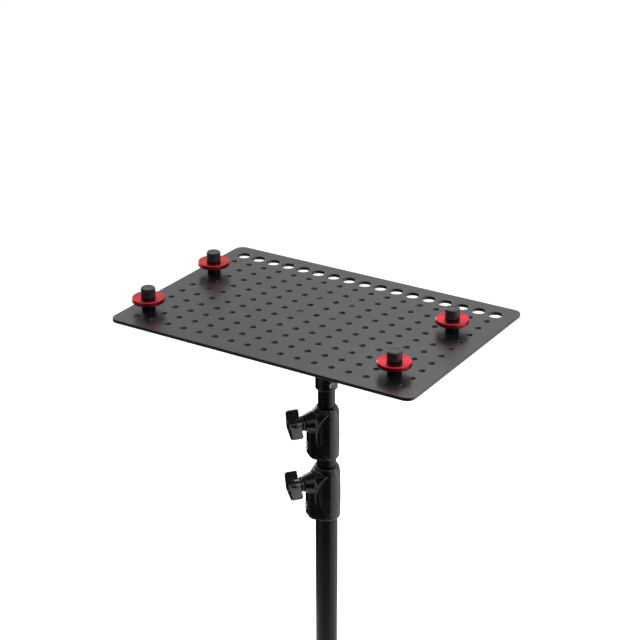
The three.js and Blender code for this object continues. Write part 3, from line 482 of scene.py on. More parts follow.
def bridgeRings(shape, rings):
    for lower, upper in zip(rings, rings[1:]):
        count = max(len(lower), len(upper))
        for side in range(count):
            corners = [
                lower[side % len(lower)], lower[(side + 1) % len(lower)],
                upper[(side + 1) % len(upper)], upper[side % len(upper)],
            ]
            corners = list(dict.fromkeys(corners))
            if len(corners) > 2:
                shape.faces.new(corners)


def turnedObject(name, corners, sides=96, steps=4):
    return toObject(name, toMesh(name, turned(eased(corners, steps), sides)))


def extruded(name, outline, low, high):  # an outline in the XY plane raised between two heights
    shape = bmesh.new()
    floor = [shape.verts.new((x, y, low)) for x, y in outline]
    roof = [shape.verts.new((x, y, high)) for x, y in outline]
    shape.faces.new(list(reversed(floor)))
    shape.faces.new(roof)
    bridgeRings(shape, [floor, roof])
    return toObject(name, toMesh(name, shape))


def arc(centreX, centreY, radius, start, end, steps):
    angles = [start + (end - start) * step / steps for step in range(steps + 1)]
    return [(centreX + radius * math.cos(angle), centreY + radius * math.sin(angle)) for angle in angles]


def moved(thing, place=(0, 0, 0), turn=(0, 0, 0)):  # in millimetres and degrees, set into the mesh
    rotation = Euler([math.radians(angle) for angle in turn]).to_matrix().to_4x4()
    thing.data.transform(Matrix.Translation(Vector(place) * mm) @ rotation)
    return thing


def crossBar(name, corners, height, sides=64):  # a turned solid laid along +X at a height
    return moved(turnedObject(name, corners, sides), (0, 0, height), (0, 90, 0))


def cast(name, solids, grain, rounds):  # overlapping solids run together, their corners softened by a mould
    lump = solids[0]
    for solid in solids[1:]:
        shape = bmesh.new()
        shape.from_mesh(lump.data)
        shape.from_mesh(solid.data)
        shape.to_mesh(lump.data)
        shape.free()
        bpy.data.objects.remove(solid)
    flow = lump.modifiers.new("flow", "REMESH")
    flow.mode = "VOXEL"
    flow.voxel_size = grain * mm
    soften = lump.modifiers.new("soften", "SMOOTH")
    soften.factor = 0.5
    soften.iterations = rounds
    settle(lump)
    lump.name = name
    return lump


def bored(body, *tools):
    return combine("DIFFERENCE", body, *tools)


def finishCast(thing, sharpAngle=38):
    thing.data.shade_smooth()
    thing.data.set_sharp_from_angle(angle=math.radians(sharpAngle))
    return thing


def rodCorners(radius, low, high):
    return [(0, low), (radius, low), (radius, high), (0, high)]


def ringCorners(bore, radius, low, high, edge, *ease):  # edges cut off, and rounded where ease is given
    return [
        (bore, low), (radius - edge, low, *ease), (radius, low + edge, *ease),
        (radius, high - edge, *ease), (radius - edge, high, *ease), (bore, high),
    ]


def hexagon(radius):
    return arc(0, 0, radius, 0, 2 * math.pi, 6)[:-1]


def threaded(name, radius, low, high, pitch, sides=32):  # a rod with a helical thread and chamfered ends
    thread = {"depth": 0.54, "stepsPerTurn": 4, "leastSteps": 8, "sharpAngle": 70}
    depth = thread["depth"] * pitch
    shape = bmesh.new()
    count = max(thread["leastSteps"], round((high - low) / pitch * thread["stepsPerTurn"]))
    rings = [[shape.verts.new((0, 0, low))]]
    for step in range(count + 1):
        height = low + (high - low) * step / count
        limit = radius - max(0, depth - min(height - low, high - height))
        ring = []
        for side in range(sides):
            angle = 2 * math.pi * side / sides
            phase = (height / pitch - side / sides) % 1
            groove = radius - depth * abs(2 * phase - 1)
            reach = min(limit, groove)
            ring.append(shape.verts.new((reach * math.cos(angle), reach * math.sin(angle), height)))
        rings.append(ring)
    rings.append([shape.verts.new((0, 0, high))])
    bridgeRings(shape, rings)
    return toObject(name, toMesh(name, shape, thread["sharpAngle"]))


# Work plate: threaded holes on a one inch grid and a row of wide cable holes, all edges broken
def addPlate():
    plate = {
        "pitch": 25.4, "columns": 17, "rows": 10, "columnOfPost": 8, "rowOfPost": 6, "cornerRadius": 12.7,
        "edge": 0.5, "crest": 4.05, "root": 4.5, "threadPitch": 1.5875, "cableRadius": 9.5, "chamfer": 0.5,
        "cellSteps": 6, "stepsInWall": 9, "arcSteps": 12, "edgeSteps": 3, "weld": 0.001, "sharpAngle": 25,
    }
    low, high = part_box("table_plate")
    left, front, bottom = low / mm
    right, back, top = high / mm
    pitch = plate["pitch"]
    firstX = columnAxis.x / mm - plate["columnOfPost"] * pitch
    firstY = columnAxis.y / mm - plate["rowOfPost"] * pitch
    perSide = plate["cellSteps"]  # on each side of the square round a hole
    sides = 4 * perSide
    shape = bmesh.new()

    def cell(centreX, centreY, wall):
        frameRing, holeStart = [], -0.75 * math.pi
        for step in range(sides):
            side, along = divmod(step, perSide)
            share = along / perSide - 0.5
            offset = [(share, -0.5), (0.5, share), (-share, 0.5), (-0.5, -share)][side]
            frameRing.append((centreX + offset[0] * pitch, centreY + offset[1] * pitch))
        rings = [[shape.verts.new((x, y, bottom)) for x, y in frameRing]]
        for radiusAt, height in wall:
            ring = []
            for step in range(sides):
                angle = holeStart + 2 * math.pi * step / sides
                radius = radiusAt(step / sides)
                ring.append(shape.verts.new((
                    centreX + radius * math.cos(angle), centreY + radius * math.sin(angle), height,
                )))
            rings.append(ring)
        rings.append([shape.verts.new((x, y, top)) for x, y in frameRing])
        bridgeRings(shape, rings)

    def threadAt(height):
        def radiusAt(turnShare):
            phase = (height / plate["threadPitch"] - turnShare) % 1
            return plate["crest"] + (plate["root"] - plate["crest"]) * abs(2 * phase - 1)
        return radiusAt

    chamfer = plate["chamfer"]
    wallSteps = plate["stepsInWall"]
    wallHeights = [bottom + chamfer + (top - bottom - 2 * chamfer) * step / wallSteps
                   for step in range(wallSteps + 1)]
    threadWall = [(lambda share: plate["root"], bottom)]
    threadWall += [(threadAt(height), height) for height in wallHeights]
    threadWall += [(lambda share: plate["root"], top)]
    cableWall = [(lambda share: plate["cableRadius"] + chamfer, bottom),
                 (lambda share: plate["cableRadius"], bottom + chamfer),
                 (lambda share: plate["cableRadius"], top - chamfer),
                 (lambda share: plate["cableRadius"] + chamfer, top)]
    for column in range(plate["columns"]):
        for row in range(plate["rows"]):
            cell(firstX + column * pitch, firstY + row * pitch, threadWall)
        cell(firstX + column * pitch, firstY + plate["rows"] * pitch, cableWall)

    gridLeft, gridFront = firstX - pitch / 2, firstY - pitch / 2
    gridRight = gridLeft + plate["columns"] * pitch
    gridBack = gridFront + (plate["rows"] + 1) * pitch
    alongX = [gridLeft + pitch * step / perSide for step in range(plate["columns"] * perSide + 1)]
    alongY = [gridFront + pitch * step / perSide for step in range((plate["rows"] + 1) * perSide + 1)]
    arcSteps = plate["arcSteps"]

    def outline(inset):
        radius = plate["cornerRadius"] - inset
        nearX, farX = left + plate["cornerRadius"], right - plate["cornerRadius"]
        nearY, farY = front + plate["cornerRadius"], back - plate["cornerRadius"]
        ring = [(x, front + inset) for x in alongX]
        ring += arc(farX, nearY, radius, -math.pi / 2, 0, arcSteps)
        ring += [(right - inset, y) for y in alongY]
        ring += arc(farX, farY, radius, 0, math.pi / 2, arcSteps)
        ring += [(x, back - inset) for x in reversed(alongX)]
        ring += arc(nearX, farY, radius, math.pi / 2, math.pi, arcSteps)
        ring += [(left + inset, y) for y in reversed(alongY)]
        ring += arc(nearX, nearY, radius, math.pi, 1.5 * math.pi, arcSteps)
        return ring

    corner = [(gridRight, gridFront)] * (arcSteps + 1)
    inner = [(x, gridFront) for x in alongX] + corner + [(gridRight, y) for y in alongY]
    inner += [(gridRight, gridBack)] * (arcSteps + 1) + [(x, gridBack) for x in reversed(alongX)]
    inner += [(gridLeft, gridBack)] * (arcSteps + 1) + [(gridLeft, y) for y in reversed(alongY)]
    inner += [(gridLeft, gridFront)] * (arcSteps + 1)
    edge, edgeSteps = plate["edge"], plate["edgeSteps"]
    quarter = [math.pi / 2 * step / edgeSteps for step in range(edgeSteps + 1)]
    profile = [(edge - edge * math.sin(angle), bottom + edge - edge * math.cos(angle)) for angle in quarter]
    profile += [(edge - edge * math.cos(angle), top - edge + edge * math.sin(angle)) for angle in quarter]
    levels = [(inner, bottom)] + [(outline(inset), height) for inset, height in profile] + [(inner, top)]
    bridgeRings(shape, [[shape.verts.new((x, y, height)) for x, y in ring] for ring, height in levels])
    bmesh.ops.remove_doubles(shape, verts=shape.verts, dist=plate["weld"])
    bmesh.ops.dissolve_degenerate(shape, edges=shape.edges, dist=plate["weld"] / 2)
    sheet = toObject("work_plate", toMesh("work_plate", shape, plate["sharpAngle"]))
    addPiece("work_plate", sheet, anodisedPlate, "table_plate")


addPlate()
print("work plate made")


# Clamps: black post, red disc, black knob on a screw
def addClamp(corner):
    clamp = {
        "discEdge": 0.9, "knobEdge": 0.9, "knobFoot": 0.5, "postEdge": 0.8, "ease": 0.3,
        "recessDepth": 0.35, "recessRadius": 7.2, "screwPitch": 1.27,
        "studRadius": 3.9, "studPitch": 1.5875, "studRoot": 0.5, "facesDown": -0.9,
    }
    node = f"clamp_{corner}"
    place = middleOf(f"{node}_disc")
    place.z = 0
    screwRadius, screwLow, screwHigh = uprightSizes(f"{node}_screw")
    bore = screwRadius + seatGap
    radius, low, high = uprightSizes(f"{node}_disc")
    ease = clamp["ease"]
    disc = turnedObject("disc", ringCorners(bore, radius, low, high, clamp["discEdge"], ease), 128)
    radius, low, high = uprightSizes(f"{node}_knob")
    edge, foot = clamp["knobEdge"], clamp["knobFoot"]
    recess, depth = clamp["recessRadius"], clamp["recessDepth"]
    knob = turnedObject("knob", [
        (bore, low), (radius - foot, low, ease / 2), (radius, low + foot, ease / 2),
        (radius, high - edge, ease), (radius - edge, high, ease),
        (recess, high, ease / 3), (recess - depth, high - depth, ease / 3),
        (0, high - depth), (0, screwHigh + seatGap), (bore, screwHigh + seatGap),
    ])
    radius, low, high = uprightSizes(f"{node}_post")
    edge = clamp["postEdge"]
    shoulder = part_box("table_plate")[1].z / mm + seatGap
    post = turnedObject("post", [
        (0, shoulder), (radius - ease, shoulder), (radius, shoulder + ease, ease / 2),
        (radius, high - edge, ease), (radius - edge, high, ease / 2),
        (bore, high), (bore, screwLow - seatGap), (0, screwLow - seatGap),
    ])
    studTop = shoulder + clamp["studRoot"]
    combine("UNION", post, threaded("stud", clamp["studRadius"], low, studTop, clamp["studPitch"]))
    screw = threaded("screw", screwRadius, screwLow, screwHigh, clamp["screwPitch"])
    for part, thing, material in (
        ("disc", disc, anodisedDisc), ("knob", knob, knobPlastic), ("post", post, blackSteel),
        ("screw", screw, zincSteel),
    ):
        thing.location = place
        addPiece(f"{corner}_clamp_{part}", thing, material, f"{node}_{part}")
    disc.data.materials.append(rubber)  # painted shade: the disc's downward faces take the black rubber colour, so the plate mirrors them dark under the disc
    for face in disc.data.polygons:
        face.material_index = int(face.normal.z < clamp["facesDown"])


for clampName in clampNames:
    addClamp(clampName)
print("clamps made")


# Collars: die-cast sleeves with a lobe that carries the boss of the locking knob
def scoopPath(sleeveRadius, wide, tangent, noseReach, collar):  # centre of the fillet at each height
    curve, radius = collar["creaseRadius"], collar["filletRadius"]
    path = []
    start, steps = -collar["scoopOverrun"], collar["scoopSteps"]
    for step in range(steps + 1):
        height = start + (collar["bodyHeight"] - 2 * start) * step / steps
        away = height - collar["creaseHeight"]
        reach = noseReach - collar["creaseBack"] - curve + math.sqrt(curve ** 2 - away ** 2)
        if reach > wide * math.cos(tangent):
            crest = Vector((reach, (wide - reach * math.cos(tangent)) / math.sin(tangent)))
        else:
            crest = Vector((reach, math.sqrt(wide ** 2 - reach ** 2)))
        out, far = crest.length, sleeveRadius + radius
        opening = math.acos((out ** 2 + far ** 2 - radius ** 2) / (2 * out * far))
        direction = math.atan2(crest.y, crest.x) + opening
        path.append((far * math.cos(direction), far * math.sin(direction), height))
    return path


def scoopTools(path, sleeveRadius, noseReach, collar):  # they clear the lobe's hull off the sleeve
    radius = collar["filletRadius"]
    far = sleeveRadius + radius
    tools = []
    for side in (1, -1):
        shape = bmesh.new()
        rings = []
        for x, y, height in path:
            circle = arc(x, side * y, radius, 0, 2 * math.pi, collar["circleSteps"])[:-1]
            rings.append([shape.verts.new((*place, height)) for place in circle])
        shape.faces.new(rings[0])
        shape.faces.new(list(reversed(rings[-1])))
        bridgeRings(shape, rings)
        tools.append(toObject("scoop", toMesh("scoop", shape)))
    behind = [(x * sleeveRadius / far, height) for x, y, height in path]
    behind += [(-noseReach, path[-1][2]), (-noseReach, path[0][2])]
    hull = extruded("behind", behind, -noseReach - overrun, noseReach + overrun)
    return tools + [moved(hull, turn=(90, 0, 0))]


def lobeSolid(sleeveRadius, noseReach, collar):
    wide = sleeveRadius + collar["bulge"] + collar["lobeProud"]
    nose = collar["noseRadius"]
    noseCentre = noseReach - nose + collar["noseFlat"]  # the side wall then cuts the nose flat
    tangent = math.acos((wide - nose) / noseCentre)
    steps = collar["circleSteps"]
    plan = arc(0, 0, wide, tangent, 2 * math.pi - tangent, steps)
    plan += arc(noseCentre, 0, nose, -tangent, tangent, steps // 2)
    solid = extruded("plan", plan, 0, collar["bodyHeight"])
    back = -sleeveRadius - overrun
    taper = collar["taperRadius"]
    side = [(back, collar["lobeBottom"])]
    side += arc(noseReach - taper, collar["lobeBottom"] + taper, taper, -math.pi / 2, 0, steps // 3)
    side += [
        (noseReach, collar["bossHeight"]),
        (noseReach - collar["slopeRun"], collar["bossHeight"] + collar["slopeRise"]),
        (sleeveRadius - collar["footChamfer"], collar["bodyHeight"]),
        (back, collar["bodyHeight"]),
    ]
    wall = extruded("side", side, -noseReach - overrun, noseReach + overrun)
    combine("INTERSECT", solid, moved(wall, turn=(90, 0, 0)))
    path = scoopPath(sleeveRadius, wide, tangent, noseReach, collar)
    return bored(solid, *scoopTools(path, sleeveRadius, noseReach, collar))


def addCollar(name, slidingNode, carriedNode):
    collar = {
        "bodyHeight": 73, "wall": 3.4, "neckWall": 1.6, "neckHeight": 1.6, "footChamfer": 2.6, "bulge": 0.5,
        "bulgeRound": 60, "step": 43, "screwRadius": 4.8, "grain": 0.5, "rounds": 7,
        "lobeProud": 0.6, "lobeReach": 10.8, "lobeBottom": 3.5, "noseRadius": 9, "noseFlat": 1.2,
        "taperRadius": 9, "slopeRun": 5, "slopeRise": 9,
        "creaseRadius": 46, "creaseBack": 8.2, "creaseHeight": 39, "filletRadius": 8,
        "scoopSteps": 40, "scoopOverrun": 4, "circleSteps": 48,
        "bossHeight": 58.5, "bossBase": 15.6, "bossEnd": 11, "bossLength": 12.8,
        "bossPast": 2, "bossGrowth": 3.4,
        "browReach": 22.5, "browInset": 2, "browRound": 10, "browDrop": 1.8, "browDepth": 24,
        "browToe": 8, "browSlope": 12,
        "rivetHeights": (20, 26.4), "rivetRadius": 2.5, "rivetShank": 1.3, "rivetDepth": 5, "rivetGap": 0.2,
        "rivetRim": 0.15, "rivetDome": 1.9, "rivetShoulder": (0.8, 0.85),
    }
    sliding = sizeOf(slidingNode).x / 2
    carried = sizeOf(carriedNode).x / 2
    height = sizeOf(f"{name}_collar").z
    sleeve = carried + seatGap + collar["wall"]
    neck = sliding + runGap + collar["neckWall"]
    noseReach = sleeve + collar["lobeReach"]
    bossReach = noseReach + collar["bossPast"]
    sleeveSolid = turnedObject("sleeve", [
        (0, 0), (sleeve - collar["footChamfer"], 0, 0.8), (sleeve, collar["footChamfer"], 1.5),
        (sleeve + collar["bulge"], collar["bodyHeight"] / 2, collar["bulgeRound"]),
        (sleeve, collar["bodyHeight"], 1.2),
        (neck + collar["neckWall"], height - collar["neckHeight"], 0.6), (neck, height), (0, height),
    ], 144)
    bossFace = bossReach + collar["bossGrowth"]
    boss = crossBar("boss", [
        (0, 0), (collar["bossBase"], bossFace - collar["bossLength"], 1),
        (collar["bossEnd"], bossFace, 0.6), (0, bossFace),
    ], collar["bossHeight"], 96)
    browTop = height - collar["browDrop"]
    browRadius = sleeve - collar["browInset"]
    browFoot = browTop - collar["browDepth"]
    brow = moved(turnedObject("brow", [
        (0, browFoot), (browRadius - collar["browToe"], browFoot),
        (browRadius, browFoot + collar["browSlope"], 4),
        (browRadius, browTop, collar["browRound"]), (0, browTop),
    ], 144, 12), (collar["browReach"] - browRadius, 0, 0))
    lobe = lobeSolid(sleeve, noseReach, collar)
    body = cast("collar", [sleeveSolid, lobe, boss, brow], collar["grain"], collar["rounds"])
    bore = turnedObject("bore", rodCorners(sliding + runGap, -overrun, height + overrun))
    seat = turnedObject("seat", rodCorners(carried + seatGap, -overrun, collar["step"]))
    screwCorners = rodCorners(collar["screwRadius"] + seatGap, 0, bossFace + overrun)
    bored(body, bore, seat, crossBar("bore", screwCorners, collar["bossHeight"], 48))
    finishCast(body)
    turn = bearing(joints[f"{name}_lock_turn"]["axis"])
    place = onColumn(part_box(f"{name}_collar")[0].z)
    body.location = place
    body.rotation_euler = (0, 0, turn)
    addPiece(f"{name}_lock_collar", body, casting, f"{name}_collar")
    shank, head, dome = collar["rivetShank"], collar["rivetRadius"], collar["rivetDome"]
    rivetEnd, rivetSeat = noseReach - collar["rivetDepth"], noseReach + collar["rivetGap"]
    across, up = collar["rivetShoulder"]
    for number, rivetHeight in enumerate(collar["rivetHeights"], 1):
        rivet = crossBar("rivet", [
            (0, rivetEnd), (shank, rivetEnd), (shank, rivetSeat),
            (head, rivetSeat), (head, rivetSeat + collar["rivetRim"], 0.15),
            (head * across, noseReach + dome * up, 0.6), (0, rivetSeat + dome),
        ], rivetHeight, 32)
        rivet.location = place
        rivet.rotation_euler = (0, 0, turn)
        addPiece(f"{name}_collar_rivet_head_{number}", rivet, rivetSteel, f"{name}_collar_rivet_{number}")
    return bossReach


# T-shaped knobs: moulded on the head of their screw, with two swept wings
def addTightener(name, bossReach, turnDegrees, body):
    knob = {
        "hubEnd": 6.8, "barrel": 9.2, "waist": 8.6, "ring": 10.6, "ringWidth": 2.6, "ringStep": 1.2,
        "neckStart": 3.9, "tipStart": 8, "tipDepth": 16.4, "sweep": 2.4, "length": 42.5,
        "thickness": 8.6, "rootThickness": 14.5, "bevel": 2, "bevelDepth": 3.7, "setBack": 0.2,
        "boreDepth": 16, "boreRadius": 5.1, "screwRadius": 4.8, "screwPitch": 1.5, "blindTip": 7,
        "grain": 0.35, "rounds": 4,
    }
    half = knob["length"] / 2
    tipEnd = knob["tipStart"] + knob["tipDepth"]
    hubEnd = tipEnd + knob["sweep"] - knob["setBack"]
    shape = bmesh.new()
    rings = []  # sections across the two wings
    for along in (-half, knob["bevel"] - half, 0, half - knob["bevel"], half):
        share = 1 - abs(along) / half
        inset = knob["bevelDepth"] if abs(along) == half else 0
        inner = knob["tipStart"] + knob["sweep"] * share + inset / 3
        outer = tipEnd + (hubEnd - tipEnd) * share - inset / 3
        thick = (knob["thickness"] + (knob["rootThickness"] - knob["thickness"]) * share) / 2 - inset
        corners = ((inner, -thick), (outer, -thick), (outer, thick), (inner, thick))
        rings.append([shape.verts.new((*corner, along)) for corner in corners])
    shape.faces.new(rings[0])
    shape.faces.new(list(reversed(rings[-1])))
    bridgeRings(shape, rings)
    wings = toObject("wings", toMesh("wings", shape))
    ringEnd, step = knob["neckStart"] + knob["ringWidth"], knob["ringStep"]
    hub = crossBar("hub", [
        (0, knob["neckStart"]), (knob["ring"], knob["neckStart"], 1.4), (knob["ring"], ringEnd, 0.8),
        (knob["waist"], ringEnd + step, 0.8), (knob["barrel"], (ringEnd + hubEnd) / 2, 12),
        (knob["hubEnd"], hubEnd, 3), (0, hubEnd + step),
    ], 0, 96)
    grip = cast("grip", [wings, hub], knob["grain"], knob["rounds"])
    bored(grip, crossBar("bore", rodCorners(knob["boreRadius"], -overrun, knob["boreDepth"]), 0, 48))
    finishCast(grip)
    axis = Vector(joints[f"{body}_turn"]["axis"])
    turn = bearing(axis)
    pivot = onColumn(middleOf(f"{name}_screw").z)
    stance = Matrix.Rotation(turn, 4, "Z") @ Matrix.Rotation(math.radians(turnDegrees), 4, "X")
    grip.matrix_world = Matrix.Translation(pivot + axis * (bossReach + seatGap) * mm) @ stance
    addPiece(f"{name}_grip", grip, handlePlastic, f"{name}_knob")
    tip = {"lower_lock": "middle_riser", "upper_lock": "top_riser"}.get(body)
    start = sizeOf(tip).x / 2 + runGap if tip else knob["blindTip"]
    end = bossReach + knob["boreDepth"]
    screw = moved(threaded("screw", knob["screwRadius"], start, end, knob["screwPitch"]), turn=(0, 90, 0))
    screw.matrix_world = Matrix.Translation(pivot) @ Matrix.Rotation(turn, 4, "Z")
    addPiece(f"{name}_stud", screw, zincSteel, f"{name}_screw")


for collarName, slidingNode, carriedNode, knobTurn in (
    ("upper", "top_riser", "middle_riser", 36), ("lower", "middle_riser", "base_column", 47),
):
    reach = addCollar(collarName, slidingNode, carriedNode)
    addTightener(f"{collarName}_collar", reach, knobTurn, f"{collarName}_lock")
print("collars and their knobs made")


# Head: the receiver bolted under the plate, its screws and the spigot that it turns on
def addReceiver():
    receiver = {
        "corner": 9, "flange": 6, "radius": 15.5, "chamfer": 2.4, "filletRadius": 20, "filletHeight": 9,
        "bossRadius": 10.5, "bossReach": 23, "bossGrowth": 3.4, "bossEase": 0.8, "lockBore": 5.1,
        "spigotGap": 0.6, "screwOffset": 25.4, "screwBore": 4.2, "knobTurn": 20, "grain": 0.8, "rounds": 5,
    }
    half, bottom, top = uprightSizes("receiver")
    under = top - receiver["flange"]
    corner, radius, chamfer = receiver["corner"], receiver["radius"], receiver["chamfer"]
    flange = extruded("flange", eased([
        (-half, -half, corner), (half, -half, corner), (half, half, corner), (-half, half, corner),
    ], 12), under, top)
    root = (under + top) / 2
    socket = turnedObject("socket", [
        (0, bottom), (radius - chamfer, bottom, 0.6), (radius, bottom + chamfer, 1),
        (radius, under - receiver["filletHeight"], 6), (receiver["filletRadius"], root), (0, root),
    ], 128)
    lockHeight = middleOf("receiver_lock_screw").z / mm
    bossFace = receiver["bossReach"] + receiver["bossGrowth"]
    bossCorners = ringCorners(0, receiver["bossRadius"], 0, bossFace, receiver["bossEase"])
    boss = crossBar("boss", bossCorners, lockHeight, 96)
    body = cast("receiver", [flange, socket, boss], receiver["grain"], receiver["rounds"])
    pin = sizeOf("spigot").x / 2 + seatGap
    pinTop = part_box("spigot")[1].z / mm + receiver["spigotGap"]
    bored(body,
          turnedObject("bore", rodCorners(pin, bottom - overrun, pinTop)),
          crossBar("bore", rodCorners(receiver["lockBore"], 0, bossFace + overrun), lockHeight, 48))
    offset = receiver["screwOffset"]
    for sideX, sideY in ((-1, -1), (1, -1), (-1, 1), (1, 1)):
        hole = turnedObject("hole", rodCorners(receiver["screwBore"], under - overrun, top + overrun), 48)
        bored(body, moved(hole, (sideX * offset, sideY * offset, 0)))
    finishCast(body)
    body.location = columnAxis
    addPiece("receiver_casting", body, casting, "receiver")
    addTightener("receiver_lock", receiver["bossReach"], receiver["knobTurn"], "receiver_lock")


def addFlangeScrew(corner):
    screw = {
        "shank": 3.9, "pitch": 1.5875, "root": 0.5, "head": 6, "socket": 3, "socketDepth": 3, "ease": 0.5,
    }
    node = f"receiver_screw_{corner}"
    radius, bottom, top = uprightSizes(node)
    seat, ease = bottom + screw["head"], screw["ease"]
    head = turnedObject("head", [
        (0, bottom), (radius - ease, bottom, 0.3), (radius, bottom + ease, 0.3),
        (radius, seat, 0.2), (0, seat),
    ], 64)
    bored(head, extruded("key", hexagon(screw["socket"]), bottom - overrun, bottom + screw["socketDepth"]))
    combine("UNION", head, threaded("shank", screw["shank"], seat - screw["root"], top, screw["pitch"]))
    head.location = middleOf(node) * Vector((1, 1, 0))
    addPiece(f"{corner}_flange_screw", head, darkSteel, node)


def addSpigot():
    spigot = {"waist": 6.6, "waistLength": 12, "slope": 1.5, "root": 8, "ease": 0.5}
    radius, bottom, top = uprightSizes("spigot")
    middle = (bottom + spigot["root"] + top) / 2
    half, waist = spigot["waistLength"] / 2, spigot["waist"]
    slope, ease = spigot["slope"], spigot["ease"]
    pin = turnedObject("spigot", [
        (0, bottom), (radius, bottom, ease),
        (radius, middle - half, ease), (waist, middle - half + slope, ease),
        (waist, middle + half - slope, ease), (radius, middle + half, ease),
        (radius, top - slope, ease), (radius - slope, top, ease), (0, top),
    ])
    pin.location = columnAxis
    addPiece("spigot_pin", pin, zincSteel, "spigot")


# Riser cap, tubes and grub screws
def addGrubScrew(name, node, outerNode, innerNode):
    grub = {"recess": 0.7, "pitch": 1.25, "socket": 2.2, "socketDepth": 1.6}
    radius = sizeOf(node).z / 2
    tip = sizeOf(innerNode).x / 2 + seatGap
    face = sizeOf(outerNode).x / 2 - grub["recess"]
    screw = threaded("screw", radius, tip, face, grub["pitch"], 48)
    bored(screw, extruded("key", hexagon(grub["socket"]), face - grub["socketDepth"], face + overrun))
    moved(screw, turn=(0, 90, 0))
    screw.location = onColumn(middleOf(node).z)
    screw.rotation_euler = (0, 0, bearing(middleOf(node) - columnAxis))
    addPiece(name, screw, brightSteel, node)


def grubHole(node, reach):  # the tool for a grub screw's hole, its mouth countersunk
    hole = {"mouth": 0.6}
    radius, mouth = sizeOf(node).z / 2 + seatGap, hole["mouth"]
    wide = radius + 2 * mouth
    tool = crossBar("hole", [
        (0, 0), (radius, 0), (radius, reach - mouth), (wide, reach + mouth),
        (wide, reach + overrun), (0, reach + overrun),
    ], middleOf(node).z / mm)
    return moved(tool, turn=(0, 0, math.degrees(bearing(middleOf(node) - columnAxis))))


def addRiserCap():
    cap = {"chamfer": 2.4, "ease": 0.9, "depth": 19.3, "spigotRoot": 8.3}
    radius, bottom, top = uprightSizes("riser_cap")
    tube = sizeOf("top_riser").x / 2 + seatGap
    pin = sizeOf("spigot").x / 2 + seatGap
    chamfer, ease = cap["chamfer"], cap["ease"]
    root, seat = top - cap["spigotRoot"], bottom + cap["depth"]
    shell = turnedObject("cap", [
        (tube, bottom), (radius - chamfer, bottom, ease / 2), (radius, bottom + chamfer, ease),
        (radius, top - chamfer, ease), (radius - chamfer, top, ease),
        (pin, top), (pin, root), (0, root), (0, seat), (tube, seat),
    ], 144)
    bored(shell, grubHole("riser_cap_grub_screw", radius))
    finishCast(shell)
    shell.location = columnAxis
    addPiece("riser_cap_casting", shell, casting, "riser_cap")
    addGrubScrew("riser_cap_grub", "riser_cap_grub_screw", "riser_cap", "top_riser")


def addTube(node):
    tube = {"wall": 1.5, "ease": 0.35}
    radius, bottom, top = uprightSizes(node)
    inner, ease = radius - tube["wall"], tube["ease"]
    pipe = turnedObject("tube", [
        (inner, bottom, ease), (radius, bottom, ease), (radius, top, ease), (inner, top, ease),
    ], 128)
    pipe.location = columnAxis
    addPiece(f"{node}_tube", pipe, tubePaint, node)


addReceiver()
for screwCorner in clampNames:
    addFlangeScrew(screwCorner)
addSpigot()
addRiserCap()
for tubeNode in ("top_riser", "middle_riser", "base_column"):
    addTube(tubeNode)
print("receiver, cap and tubes made")


# Base: three legs on hubs stacked about the column, two of which swing
legLine = {"footReach": 405, "end": 17, "bend": 90, "slope": 52}  # followed by tube and boot


def addHub(name, turn, height):
    hub = {
        "radius": 25, "chamfer": 2, "socket": 15.6, "reach": 62, "mouth": 1.2,
        "legDepth": 26, "legBore": 12.8, "grain": 0.8, "rounds": 6,
    }
    half = sizeOf(f"{name}_hub").z / 2
    ring = turnedObject("ring", ringCorners(0, hub["radius"], -half, half, hub["chamfer"]), 128)
    socket = crossBar("socket", ringCorners(0, hub["socket"], 0, hub["reach"], hub["mouth"]), 0, 96)
    body = cast("hub", [ring, socket], hub["grain"], hub["rounds"])
    column = sizeOf("base_column").x / 2 + runGap
    legCorners = rodCorners(hub["legBore"], hub["reach"] - hub["legDepth"], hub["reach"] + overrun)
    bored(body,
          crossBar("bore", legCorners, 0),
          turnedObject("bore", rodCorners(column, -half - overrun, half + overrun)))
    finishCast(body)
    body.location = onColumn(height * mm)
    body.rotation_euler = (0, 0, turn)
    addPiece(f"{name}_leg_hub", body, casting, f"{name}_hub")


def addLegTube(name, turn, height):
    leg = {"start": 36, "radius": 12.5, "wall": 2, "sides": 64, "bendSteps": 32}
    footReach, bend, end = legLine["footReach"], legLine["bend"], legLine["end"]
    slope = math.radians(legLine["slope"])
    drop = height - end - bend * (1 - math.cos(slope))
    bendStart = footReach - drop / math.tan(slope) - bend * math.sin(slope)
    path = [(leg["start"], height, 0)]
    for step in range(leg["bendSteps"] + 1):
        angle = slope * step / leg["bendSteps"]
        path.append((bendStart + bend * math.sin(angle), height - bend * (1 - math.cos(angle)), angle))
    path.append((footReach, end, slope))
    shape = bmesh.new()

    def ringAt(place, radius):
        x, z, angle = place
        ring = []
        for side in range(leg["sides"]):
            around = 2 * math.pi * side / leg["sides"]
            out = radius * math.cos(around)
            ring.append(shape.verts.new((
                x + out * math.sin(angle), radius * math.sin(around), z + out * math.cos(angle),
            )))
        return ring

    rings = [ringAt(place, leg["radius"]) for place in path]
    rings += [ringAt(place, leg["radius"] - leg["wall"]) for place in reversed(path)]
    bridgeRings(shape, rings + rings[:1])
    tube = toObject("leg", toMesh("leg", shape))
    tube.location = columnAxis
    tube.rotation_euler = (0, 0, turn)
    addPiece(f"{name}_leg_tube", tube, tubePaint, f"{name}_leg")


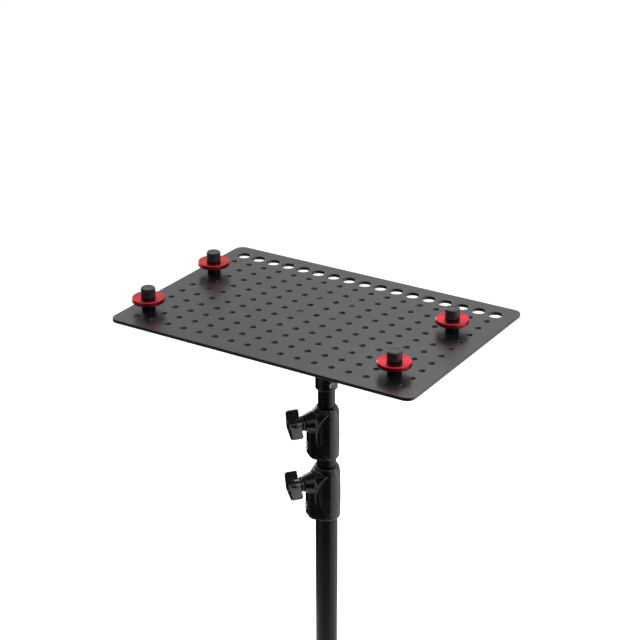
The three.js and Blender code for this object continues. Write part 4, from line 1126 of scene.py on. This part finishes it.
def addBoot(name, turn):
    boot = {
        "radius": 16, "bore": 12.8, "length": 40, "lip": 1.5,
        "grooves": (22, 28, 34), "groove": 0.7, "grooveWidth": 1.6, "ease": 0.5,
    }
    footReach, end = legLine["footReach"], legLine["end"]
    slope = math.radians(legLine["slope"])
    radius, length, lip = boot["radius"], boot["length"], boot["lip"]
    bore, ease = boot["bore"], boot["ease"]
    toFloor = end / math.sin(slope) + radius / math.tan(slope)
    half, deep = boot["grooveWidth"] / 2, radius - boot["groove"]
    corners = [(0, -toFloor), (radius, -toFloor)]
    for height in boot["grooves"]:
        corners += [(radius, height - half, ease), (deep, height, ease), (radius, height + half, ease)]
    corners += [
        (radius, length - lip, 0.8), (radius - lip, length, 0.8),
        (bore, length, 0.3), (bore, -seatGap), (0, -seatGap),
    ]
    foot = moved(turnedObject("boot", corners), (footReach, 0, end), (0, legLine["slope"] - 90, 0))
    wide = 2 * footReach
    bored(foot, extruded("below", [(-wide, -wide), (wide, -wide), (wide, wide), (-wide, wide)], -wide, 0))
    moved(finishCast(foot), turn=(0, 0, math.degrees(turn)))
    foot.location = columnAxis
    addPiece(f"{name}_leg_boot", foot, rubber, f"{name}_boot")


def addLeg(name):
    turn = bearing(middleOf(f"{name}_boot") - columnAxis)
    height = middleOf(f"{name}_hub").z / mm
    addHub(name, turn, height)
    addLegTube(name, turn, height)
    addBoot(name, turn)


def addRing(node, name, material, edge):
    radius, bottom, top = uprightSizes(node)
    bore = sizeOf("base_column").x / 2 + seatGap
    ring = turnedObject(name, ringCorners(bore, radius, bottom, top, edge, edge / 3), 128)
    ring.location = columnAxis
    if node == "hub_retainer":
        bored(ring, grubHole("hub_retainer_grub_screw", radius))
        finishCast(ring)
    addPiece(name, ring, material, node)


def addPlug():
    plug = {"flange": 4, "wall": 1.8, "ease": 0.8, "dish": 1, "draft": 0.6}
    radius, bottom, top = uprightSizes("column_plug")
    inner, ease, dish = radius - plug["wall"], plug["ease"], plug["dish"]
    shoulder = bottom + plug["flange"]
    body = turnedObject("plug", [
        (0, bottom + dish), (radius / 2, bottom + dish), (radius / 2 + dish, bottom),
        (radius - plug["draft"], bottom, ease / 2), (radius, shoulder, ease / 2),
        (inner, shoulder), (inner, top - ease, ease / 2), (inner - ease, top, ease / 2), (0, top),
    ])
    body.location = columnAxis
    addPiece("column_end_plug", body, rubber, "column_plug")


for legName in ("back", "left", "right"):
    addLeg(legName)
for level in (1, 2):
    addRing(f"hub_washer_{level}", f"washer_{level}", nylonWasher, 0.3)
addRing("hub_retainer", "retaining_ring", casting, 1.2)
addGrubScrew("retaining_ring_grub", "hub_retainer_grub_screw", "hub_retainer", "base_column")
addPlug()
print("base made")

print("all pieces made")
